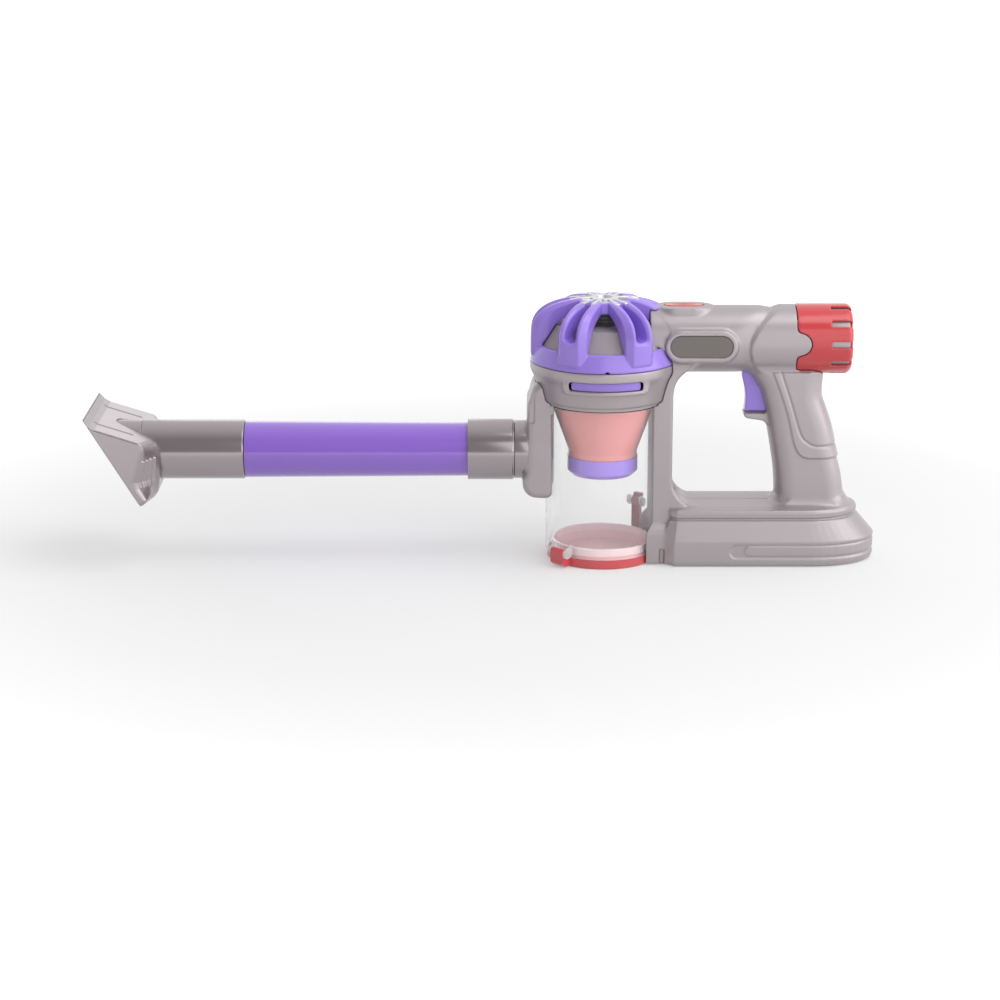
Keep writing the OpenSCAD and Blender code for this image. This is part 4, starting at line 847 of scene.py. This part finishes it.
lathe("skirt_grey", [
    (SKIRT_R0, SKIRT_FOOT), (SKIRT_R0, SKIRT_Z0), (SKIRT_R1, SKIRT_Z1), (SKIRT_BORE, SKIRT_Z1 + SKIRT_CROWN),
    (SKIRT_BORE, SKIRT_Z1 + SKIRT_CROWN - SKIRT_T), (SKIRT_R1 - SKIRT_T, SKIRT_Z1 - SKIRT_T),
    (SKIRT_R0 - SKIRT_T, SKIRT_Z0), (SKIRT_R0 - SKIRT_T, SKIRT_FOOT),
], 0.7, "z", 0, "body", ["dome_skirt"], "grey_shell", SKIRT)


def crown_height(r):
    """Height of the dome's outer surface at a radius."""
    return CROWN_Z0 + CROWN_RISE * np.maximum(1 - (r / dome_r) ** CROWN_FULL, 0) ** (1 / CROWN_FULL)


def turns(x, y):
    """Angles from the middle of the nearest window and of the nearest leg."""
    step = 2 * math.pi / LEGS
    turn = np.arctan2(y, x) - WINDOW_AZ
    return np.abs(np.mod(turn + step / 2, step) - step / 2), np.abs(np.mod(turn, step) - step / 2)


def dome_field(x, y, z):
    """Cage of six slotted legs that stand proud of a sloped band and meet at the hub."""
    r = np.hypot(x, y)
    over = np.maximum(z - CROWN_Z0, 0)
    from_window, from_leg = turns(x, y)
    outer = full_ellipse(r, over, dome_r, CROWN_RISE, CROWN_FULL)
    half = np.maximum(WINDOW_HALF - WINDOW_TAPER * (dome_r - r), WINDOW_LEAST)
    flat = LEG_FLAT * np.clip((r - FLAT_R) / FLAT_RUN, FLAT_LEAST, 1)
    leg = bevelled(outer, half - r * np.sin(from_window), flat, 0.45)
    leg = bevelled(leg, FOOT_Z - z, FOOT_FLAT, 0.5)
    slot = meet(r * np.sin(from_leg) - r * math.tan(SLOT_A), BAND_Z1 + SLOT_RISE - z, 4)
    slot = both(slot, HUB_R + SLOT_END - r)
    leg = bevelled(leg, -slot, SLOT_FLAT, 0.4)
    band = (r - dome_r + BAND_SLOPE * np.maximum(z - ring_z1 - BAND_WALL, 0)) * BAND_SCALE
    band = bevelled(band, z - BAND_Z1, BAND_FLAT, 0.5)
    hub = both(outer + HUB_SINK, r - HUB_R - HUB_LAP)
    skirt = r - np.interp(z, [SKIRT_Z0, SKIRT_Z1], [SKIRT_R0, SKIRT_R1])
    skirt = both(skirt - SKIRT_GAP, z - SKIRT_Z1 - SKIRT_GAP)
    inner = either(ellipse(r, over, dome_r - ARM_DEPTH, CROWN_RISE - ROOF_T), skirt)
    inner = np.where(z < BAND_Z1 - BAND_LIP, r - dome_r + BAND_T, inner)
    d = meet(join(join(leg, band, 0.5), hub, 1), -inner, 0.7)
    d = cut(d, both(r - medal_hi[0] - WELL_GAP, medal_lo[2] - z), 0.5)
    d = cut(d, both(np.hypot(x - DOT_X, z - ring_z1) - DOT_R, y), 0.4)
    d = cut(d, body_front(x, y, z) - SEAT, 0.4)
    return meet(d, ring_z1 + 0.1 - z, 0.6)


def star_field(x, y, z):
    """Silver hub: a dished ring with a pair of rays for each leg; the rays are silver trim near the hub and a
    painted highlight further out over the legs' tops.
    """
    r = np.hypot(x, y)
    top = np.minimum(crown_height(r), medal_hi[2] - 0.2) + STAR_PROUD
    across = r * np.abs(np.sin(turns(x, y)[1] - RAY_TURN))
    ray = both(across - RAY_HALF - RAY_FLARE * r, r - STAR_GLINT_R, RAY_R0 - r)
    ray = both(meet(ray, z - top, 0.5), top - RAY_T - z)
    eye = both(meet(np.abs(r - EYE_R) - EYE_HALF, z - top, 0.6), top - EYE_T - z)
    dish = both(r - medal_hi[0], z - top + DISH_DEPTH, medal_lo[2] - 1 - z)
    return either(ray, eye, dish)


mould("dome_purple", dome_field, (-dome_r, -dome_r, ring_z1), (dome_r, dome_r, medal_hi[2]), DOME_STEP,
      "body", ["dome_cage"], "purple")
mould("hub_star", star_field, (-STAR_GLINT_R, -STAR_GLINT_R, medal_lo[2] - 5), (STAR_GLINT_R, STAR_GLINT_R, medal_hi[2]), STAR_STEP,
      "body", ["dome_medallion"], "silver")


# Housing ring with its slotted pad, and the collar under it

RING_STEP, RING_WALL, RING_FLOOR, RING_BORE = 0.7, 2.4, 2, 22
RING_SCALE = 0.92
RING_LIP, RING_GAP = 0.3, 0.1
PAD_X, PAD_W, PAD_H, PAD_R = 0.4, 62, 15, 4
PAD_Z, PAD_SINK, PAD_BACK = ring_z0 + 0.66 * RING_H, 0.4, 4.4
SLOT_W, SLOT_H, SLOT_R, SLOT_Z = 53, 6.4, 2, ring_z0 + 0.61 * RING_H
COLLAR_BORE, COLLAR_SEAT, COLLAR_LIP = bin_r + 0.2, bin_r - 2, COLLAR_Z0 + 1.2


def ring_field(x, y, z):
    """Flared ring with a raised pad on the near side and a slot for the purple bar."""
    r = np.hypot(x, y)
    wall = r - ring_radius(z)
    d = both(wall * RING_SCALE, np.where(z < ring_z0 + RING_LIP, collar_r + RING_GAP - r, -1))
    d = cut(d, both(wall + RING_WALL, ring_z0 + RING_FLOOR - z), 0.4)
    d = both(d, RING_BORE - r)
    pad = meet(soft_rect(x - PAD_X, z - PAD_Z, PAD_W, PAD_H, PAD_R), r - dome_r + PAD_SINK, 1.2)
    d = join(d, both(pad, dome_r - PAD_BACK - r, y), 1.2)
    slot = soft_rect(x - PAD_X, z - SLOT_Z, SLOT_W, SLOT_H, SLOT_R)
    d = cut(d, both(slot, y), 0.7)
    d = meet(d, z - ring_z1 + 0.1, 0.8)
    d = cut(d, body_front(x, y, z) - SEAT, 0.4)
    return meet(d, ring_z0 - RING_DROP - z, 0.8)


mould("ring_grey", ring_field, ring_lo - [0, 0, RING_DROP], ring_hi, RING_STEP,
      "body", ["cyclone_ring"], "grey_shell")
lathe("collar_grey", [
    (COLLAR_BORE, COLLAR_Z0), (collar_r, COLLAR_Z0), (collar_r, ring_z0), (COLLAR_SEAT, ring_z0),
    (COLLAR_SEAT, COLLAR_LIP), (COLLAR_BORE, COLLAR_LIP),
], 0.5, "z", 0, "body", ["bin_collar"], "grey_shell")


# Clear bin with its brackets, and the funnel in it

BIN_WALL, BIN_EDGE, EDGE_HOLD = 1.8, 0.6, 3
EAR_STEP, EAR_T, EAR_R, EAR_WEB, EAR_FOOT, EAR_LAP = 0.4, 3, 3.4, 5, 1.2, 0.1
HINGE_RISE, LATCH_RISE = 6, 4
CONE_TOP_R, CONE_FOOT_R, CONE_WALL = 38.6, 25.3, 1.6
CONE_BORE = CONE_FOOT_R - CONE_WALL
CONE_Z0, CONE_FOOT_Z, CONE_Z1 = cone_lo[2], cone_lo[2] + 4, COLLAR_Z0 + 1

bin_profile = []
for wall_r, up in ((bin_r, 1), (bin_r - BIN_WALL, -1)):
    first, last = (dust_lo[2], dust_hi[2])[::up]
    inward = BIN_EDGE * up
    bin_profile += [
        (wall_r - inward, first), (wall_r, first + inward), (wall_r, first + EDGE_HOLD * inward),
        (wall_r, last - EDGE_HOLD * inward), (wall_r, last - inward), (wall_r - inward, last),
    ]
clear_bin = lathe("bin_clear", bin_profile, 0, "z", 0, "body", ["dust_bin"], "clear")
clear_bin.visible_shadow = False


def ears(name, pin, rise):
    """Pair of soft clear brackets on the bin that hold the ends of a pin."""
    lo, hi = span(pin)
    middle, thick = (lo + hi) / 2, hi[2] - lo[2]
    out, turn = math.hypot(middle[0], middle[1]), math.atan2(middle[1], middle[0])
    c, s = math.cos(turn), math.sin(turn)
    long = (hi[0] - lo[0] - thick * abs(c)) / abs(s)

    def field(x, y, z):
        along, across = x * c + y * s, y * c - x * s
        plate = np.abs(np.abs(across) - (long - EAR_T) / 2) - EAR_T / 2
        knob = np.hypot(along - out, z - middle[2]) - EAR_R
        foot = both(np.abs(along - bin_r) - EAR_FOOT, np.abs(z - middle[2] - rise / 2) - rise / 2)
        web = both(join(knob, foot, EAR_WEB), bin_r - EAR_LAP - np.hypot(x, y))
        return meet(web, plate, 0.9)

    reach = np.array([long, long, rise + EAR_R])
    soft = mould(name, field, middle - reach, middle + reach, EAR_STEP, "body", [], "clear", BRACKET)
    soft.visible_shadow = False


ears("hinge_ears", "lid_hinge_pin", HINGE_RISE)
ears("latch_ears", "latch_pin", LATCH_RISE)
lathe("cone_red", [
    (CONE_BORE, CONE_Z0), (CONE_FOOT_R, CONE_Z0), (CONE_FOOT_R, CONE_FOOT_Z),
    (CONE_TOP_R, CONE_Z1), (CONE_TOP_R - CONE_WALL, CONE_Z1), (CONE_BORE, CONE_FOOT_Z),
], 0.6, "z", 0, "body", ["cyclone_cone"], "red", CONE_HAZED_RED)


# Inlet duct

DUCT_STEP, DUCT_X0, DUCT_X1, DUCT_HALF = 0.75, socket_hi[0] + 9.3, -30, duct_hi[1]
DUCT_Z0, DUCT_Z1 = duct_lo[2], duct_hi[2]
DUCT_LINE = smooth_line(
    [(DUCT_X1, DUCT_Z0)]
    + around(DUCT_X0, DUCT_Z0, [(8, 0), (1.2, 2), (-2.6, 7), (-3.2, 14), (-1, 20), (0, 30)])
    + around(DUCT_X0, DUCT_Z1, [(0, -20), (1.5, -12), (7, 0)]) + [(DUCT_X1, DUCT_Z1)], 4)
STUB_R, STUB_SINK, STUB_X0, STUB_X1 = 21.4, 1, DUCT_X0 - 9, DUCT_X0 + 10
BORE_R, BORE_X1, SPIGOT_R = 17.5, -20, 19.3
SLIT_Z, SLIT_X, SLIT_L, SLIT_W, SLIT_D = 117.5, 3.6, 25, 3.2, 1.4
ROOT_Z, ROOT_SOFT, ROOT_FINE = collar_lo[2] - 4, 4.5, 0.5


def duct_field(x, y, z):
    """Duct box with a round stub and spigot for the wand, and a thin slot on each side."""
    d = slab(outline(x, z, DUCT_LINE), y, DUCT_HALF, 5)
    r = np.hypot(y, z - wand_z)
    stub = slab(r - STUB_R + STUB_SINK, x - (STUB_X0 + STUB_X1) / 2, (STUB_X1 - STUB_X0) / 2, 0.8)
    spigot = slab(r - SPIGOT_R, x - (duct_lo[0] + DUCT_X0) / 2, (DUCT_X0 - duct_lo[0]) / 2, 0.6)
    d = either(join(d, stub, 3), spigot)
    slot = pill(z - SLIT_Z, x - DUCT_X0 - SLIT_X, SLIT_L, SLIT_W)
    d = cut(d, slab(slot, np.abs(y) - DUCT_HALF, SLIT_D, 0.3), 0.7)
    d = cut(d, both(r - BORE_R, x - BORE_X1), 0.5)
    return cut(d, cyclone_room(x, y, z, SEAM), np.where(z < ROOT_Z, ROOT_SOFT, ROOT_FINE))


mould("duct_grey", duct_field, duct_lo, duct_hi, DUCT_STEP, "body", ["inlet_duct"], "grey_shell")


# Wand: collar, tube and the stub's dark sleeve

SOCKET_R, SOCKET_X0, SOCKET_X1 = socket_hi[1] + 0.4, socket_lo[0] - 1.4, socket_hi[0]
NOSE_R, STEP_X0, STEP_X1 = SOCKET_R - 0.5, SOCKET_X1 - 1.4, SOCKET_X1 - 0.9
TUBE_HEAD_R, TUBE_COLLAR_R, TUBE_WALL = tube_hi[1], 19.7, 1.6
HEAD_BORE, END_BORE = TUBE_HEAD_R - TUBE_WALL, TUBE_COLLAR_R - TUBE_WALL
TAPER_X0, TAPER_X1 = tube_lo[0] + 32, SOCKET_X0 - 11
SOCKET_BORE = TUBE_COLLAR_R + 0.1
SLEEVE_R0, SLEEVE_R1, SLEEVE_X0, SLEEVE_X1 = STUB_R - 0.8, STUB_R - 0.1, SOCKET_X1 + SEAT, DUCT_X0 + 1

lathe("collar_dark", [
    (SOCKET_BORE, SOCKET_X0), (SOCKET_R, SOCKET_X0), (SOCKET_R, STEP_X0), (NOSE_R, STEP_X1),
    (NOSE_R, SOCKET_X1), (SOCKET_BORE, SOCKET_X1),
], 0.45, "x", wand_z, "wand", ["wand_collar"], "dark_grey")
lathe("tube_purple", [
    (HEAD_BORE, tube_lo[0]), (TUBE_HEAD_R, tube_lo[0]), (TUBE_COLLAR_R, SOCKET_X0),
    (TUBE_COLLAR_R, tube_hi[0]), (END_BORE, tube_hi[0]), (END_BORE, TAPER_X1), (HEAD_BORE, TAPER_X0),
], 0.4, "x", wand_z, "wand", ["wand_tube"], "purple", TUBE)
lathe("stub_dark", [
    (SLEEVE_R0, SLEEVE_X0), (SLEEVE_R1, SLEEVE_X0), (SLEEVE_R1, SLEEVE_X1), (SLEEVE_R0, SLEEVE_X1),
], 0.2, "x", wand_z, "body", [], "dark_grey")


# Suction head with its neck; its forms are shares of its length and height

HEAD_STEP, HEAD_KEEP, HEAD_L = 0.65, 0.7, 44.5
HEAD_X0, HEAD_Z0, HEAD_H, HEAD_HALF = head_lo[0], head_lo[2], head_hi[2] - head_lo[2], head_hi[1]
HEAD_WALL, END_LEAN, PIPE_HALF = 2.2, 3, 25
HEAD_SIDE = around(HEAD_X0, HEAD_Z0, [
    (-0.035, 1.035), (0.1, 0.925), (0.2, 0.885), (0.84, 0.745), (1.3, 0.645), (1.3, 0), (0.9, 0),
], HEAD_L, HEAD_H)
HEAD_ROOM = around(HEAD_X0, HEAD_Z0, [
    (0.02, 0.93), (0.16, 0.845), (0.78, 0.7), (0.84, 0.6), (0.72, 0.28), (0.86, 0.06), (0.82, -0.06),
    (0.4, 0.2),
], HEAD_L, HEAD_H)
PLATE_LINE = around(HEAD_X0, HEAD_Z0, [(0.16, 0.845), (0.78, 0.7), (1, 0.65)], HEAD_L, HEAD_H)
END_REAR = [(0, 0.92), (0.075, 1.0), (0.2, 0.86), (0.28, 0.82), (0.54, 0.92), (0.64, 0.95), (0.8, 0.95)]
PIPE_REAR = [(0, 1.05), (0.1, 1.14), (0.25, 1.17), (0.5, 1.17), (0.62, 1.15), (0.72, 1.08), (0.8, 1.0)]
REAR_SCALE = 0.8
RIBS_Y, RIB_W, RIB_RISE, RIB_ROWS = (44.2, 39.8, 35.4, 31), 0.75, 1.9, (0.2, 0.52)
SCORE_Y, SCORE_W, SCORE_DEPTH, SCORE_ROW = 27, 1.0, 0.7, 0.7
SCORE_X, SCORE_HALF = HEAD_X0 + 20, 14
NECK_R, NECK_WALL, NECK_BEVEL, NECK_GAP = neck_hi[1], 2, 0.9, 0.1
NECK_TIP, NECK_ROUND, NECK_X1 = HEAD_X0 + 19, HEAD_X0 + 38, tube_lo[0] - SEAT
NECK_BORE_X0, NECK_BORE_X1 = NECK_X1 - 16, NECK_X1 - 8
PLUG_R = HEAD_BORE - SEAT
NECK_BORE, PLUG_BORE = NECK_R - NECK_WALL, PLUG_R - NECK_WALL
HOOD_STEP, HOOD_SINK, HOOD_X0, HOOD_X1 = 0.55, 1.5, NECK_TIP + 0.3, NECK_ROUND - 0.05


def rear_line(z, shares):
    """Rear edge at a height, from pairs of height and length."""
    up = (z - HEAD_Z0) / HEAD_H
    return HEAD_X0 + HEAD_L * np.interp(up, [p[0] for p in shares], [p[1] for p in shares])


def head_field(x, y, z):
    """Slanted hood: wide at the mouth, tapering at the rear to the neck, with ribs on its rear flanks."""
    ay = np.abs(y)
    up = (z - HEAD_Z0) / HEAD_H
    lean = END_LEAN * up
    d = slab(outline(x, z, HEAD_SIDE), ay + lean, HEAD_HALF, 0.9)
    taper = np.clip((HEAD_HALF - ay) / (HEAD_HALF - PIPE_HALF), 0, 1)
    rear = rear_line(z, END_REAR) * (1 - taper) + rear_line(z, PIPE_REAR) * taper
    fins = sum(ridge(ay - rib, RIB_W) for rib in RIBS_Y) * ((up > RIB_ROWS[0]) & (up < RIB_ROWS[1]))
    d = meet(d, (x - rear - RIB_RISE * fins) * REAR_SCALE, 3.2)
    on_top = (np.abs(x - SCORE_X) < SCORE_HALF) * (up > SCORE_ROW)
    d = d + SCORE_DEPTH * ridge(ay - SCORE_Y, SCORE_W) * on_top
    d = cut(d, slab(outline(x, z, HEAD_ROOM), ay + lean, HEAD_HALF - HEAD_WALL, 0.5), 0.5)
    return cut(d, both(np.hypot(y, z - wand_z) - NECK_R - NECK_GAP, NECK_TIP - x), 0.6)


def hood_field(x, y, z):
    """Crown of the neck's front end, which comes out of the slanted top."""
    plate = np.interp(x, *zip(*PLATE_LINE))
    wall = np.abs(np.hypot(y, z - wand_z) - NECK_R + NECK_WALL / 2) - NECK_WALL / 2
    return both(wall, plate - HOOD_SINK - z, HOOD_X0 - x, x - HOOD_X1)


mould("head_grey", head_field, head_lo, head_hi, HEAD_STEP,
      "head", ["floor_head"], "grey_shell", HEAD, HEAD_KEEP)
lathe("neck_dark", [
    (NECK_BORE, NECK_ROUND), (NECK_R, NECK_ROUND), (NECK_R, NECK_X1 - NECK_BEVEL),
    (NECK_R - NECK_BEVEL, NECK_X1), (PLUG_R, NECK_X1), (PLUG_R, neck_hi[0]), (PLUG_BORE, neck_hi[0]),
    (PLUG_BORE, NECK_BORE_X1), (NECK_BORE, NECK_BORE_X0),
], 0.3, "x", wand_z, "head", ["head_neck"], "dark_grey")
mould("neck_hood", hood_field, (NECK_TIP, -NECK_R, wand_z), (NECK_ROUND, NECK_R, wand_z + NECK_R), HOOD_STEP,
      "head", [], "dark_grey")


# Trigger and button

TRIGGER_STEP, BUTTON_STEP = 0.45, 0.4
TRIGGER_W, TRIGGER_H = trigger_hi[0] - trigger_lo[0], trigger_hi[2] - trigger_lo[2]
TRIGGER_LINE = smooth_line(around(trigger_lo[0], trigger_lo[2], [
    (0.1, 0), (0.13, 0.24), (0.09, 0.46), (0.0, 0.7), (0.05, 0.95), (0.22, 1), (0.56, 1), (0.66, 0.78),
    (0.87, 0.42), (1, 0),
], TRIGGER_W, TRIGGER_H), 4)
LIP_Z, LIP_RUN, LIP_SINK, LIP_W = trigger_lo[2] + 0.5 * TRIGGER_H, 1.0, 0.5, 1.5
HOLLOW_R, HOLLOW_RISE, HOLLOW_STRETCH = 7.9, 7.2, 3.2


def trigger_field(x, y, z):
    """Trigger blade, a little narrower above its lip."""
    d = slab(outline(x, z, TRIGGER_LINE), y, trigger_hi[1], 1.2)
    return d + LIP_SINK * stepped(LIP_Z - z, LIP_RUN) * np.clip(np.abs(y) - trigger_hi[1] + LIP_W, 0, 1)


def button_field(x, y, z):
    """Oval button with a hollow for the thumb."""
    along = x - button_mid[0]
    d = slab(pill(along, y, button_size[0], button_size[1]), z - button_mid[2], button_size[2] / 2, 1.0)
    hollow = np.hypot(np.hypot(along / HOLLOW_STRETCH, y), z - button_hi[2] - HOLLOW_RISE) - HOLLOW_R
    return cut(d, hollow, 0.5)


mould("trigger_purple", trigger_field, trigger_lo, trigger_hi, TRIGGER_STEP,
      "trigger", ["trigger"], "purple")
mould("button_red", button_field, button_lo, button_hi, BUTTON_STEP, "button", ["release_button"], "red")


# Stage: pale floor, soft light and the photo's camera, in metres

FLOOR_HALF, FLOOR_PAINT, FLOOR_ROUGH = 30.0, 0.6, 0.9
FLOOR_GLOW, GLOW_REACH = (0.33, 0.9), (0.25, 1.1)
FRONT_LIGHT, BACK_LIGHT, WORLD_TURN = 0.4, 0.8, (-0.6, 0.6)
MIDDLE = (0.05, 0, 0.1)
LAMPS = [  # name, place, target, size, power
    ("top_soft", (0.75, -0.3, 1.6), MIDDLE, (1.2, 1.1), 9),
    ("front_soft", (1.0, -1.7, 0.9), MIDDLE, (2.2, 1.6), 13),
    ("side_soft", (1.9, -0.5, 0.7), (0.15, 0, 0.05), (1.3, 1.3), 10),
    ("head_soft", (-0.35, 1.7, 0.68), (-0.35, 0, 0.1), (0.45, 0.4), 0.35),
]
SENSOR, PHOTO_PX, FOCAL_PX = 36, 1000, 2835
CAMERA_PLACE, CAMERA_DOWN = (-0.0751136, -2.01403, 0.588994), 15.2


def with_rays(tree, path, seen, *rays):
    """Largest of a value and the named outputs of a Light Path node."""
    for ray in rays:
        seen = math_node(tree, "MAXIMUM", seen, path.outputs[ray])
    return seen


def floor_material():
    """Pale paint with a glow that only the camera, reflections and clear pieces see."""
    m, tree, shader = new_material("pale_floor")
    set_inputs(shader, {"Base Color": (FLOOR_PAINT, FLOOR_PAINT, FLOOR_PAINT, 1), "Roughness": FLOOR_ROUGH,
                        "Specular IOR Level": 0.0, "Emission Color": (1, 1, 1, 1)})
    place = tree.nodes.new("ShaderNodeTexCoord")
    away = tree.nodes.new("ShaderNodeVectorMath")
    away.operation = "LENGTH"
    tree.links.new(place.outputs["Object"], away.inputs[0])
    rise = map_range(tree, away.outputs["Value"], GLOW_REACH, FLOOR_GLOW, "SMOOTHSTEP")
    path = tree.nodes.new("ShaderNodeLightPath")
    seen = with_rays(tree, path, path.outputs["Is Camera Ray"], "Is Glossy Ray", "Is Transmission Ray")
    tree.links.new(math_node(tree, "MULTIPLY", seen, rise), shader.inputs["Emission Strength"])
    return m


def add_floor():
    """Wide flat floor under the toy."""
    corners = [(u * FLOOR_HALF, v * FLOOR_HALF, 0) for u, v in ((-1, -1), (1, -1), (1, 1), (-1, 1))]
    mesh = bpy.data.meshes.new("floor")
    mesh.from_pydata(corners, [], [(0, 1, 2, 3)])
    mesh.materials.append(floor_material())
    floor = add_object("floor", mesh)


def light_world():
    """World that lights more from behind, and is white to the camera, clear pieces and rear reflections."""
    world = bpy.data.worlds.new("studio")
    bpy.context.scene.world = world
    world.use_nodes = True
    tree = world.node_tree
    lit = tree.nodes["Background"]
    lit.inputs["Strength"].default_value = 1.0
    way = tree.nodes.new("ShaderNodeTexCoord")
    apart = tree.nodes.new("ShaderNodeSeparateXYZ")
    tree.links.new(way.outputs["Generated"], apart.inputs["Vector"])
    rearward = map_range(tree, apart.outputs["Y"], WORLD_TURN)
    shade = tree.nodes.new("ShaderNodeValToRGB")
    for stop, level in zip(shade.color_ramp.elements, (FRONT_LIGHT, BACK_LIGHT)):
        stop.color = (level, level, level, 1)
    tree.links.new(rearward, shade.inputs["Fac"])
    path = tree.nodes.new("ShaderNodeLightPath")
    behind = math_node(tree, "MULTIPLY", path.outputs["Is Glossy Ray"], rearward)
    white = tree.nodes.new("ShaderNodeMixRGB")
    white.inputs["Color2"].default_value = (1, 1, 1, 1)
    tree.links.new(with_rays(tree, path, behind, "Is Camera Ray", "Is Transmission Ray"), white.inputs["Fac"])
    tree.links.new(shade.outputs["Color"], white.inputs["Color1"])
    tree.links.new(white.outputs["Color"], lit.inputs["Color"])


def add_lamp(name, place, target, size, power):
    """Soft rectangular lamp that points at a target."""
    lamp = bpy.data.lights.new(name, "AREA")
    lamp.shape = "RECTANGLE"
    lamp.size, lamp.size_y = size
    lamp.energy = power
    obj = add_object(name, lamp)
    obj.location = place
    obj.rotation_euler = (Vector(target) - Vector(place)).to_track_quat("-Z", "Y").to_euler()


def add_camera():
    """Camera fitted to the photo's place and angle."""
    lens_data = bpy.data.cameras.new("camera")
    lens_data.sensor_width = SENSOR
    lens_data.lens = SENSOR * FOCAL_PX / PHOTO_PX
    camera = add_object("camera", lens_data)
    camera.location = CAMERA_PLACE
    camera.rotation_euler = (math.radians(90 - CAMERA_DOWN), 0, 0)
    bpy.context.scene.camera = camera


add_floor()
light_world()
for lamp_row in LAMPS:
    add_lamp(*lamp_row)
add_camera()
bpy.context.scene.view_settings.view_transform = "Standard"
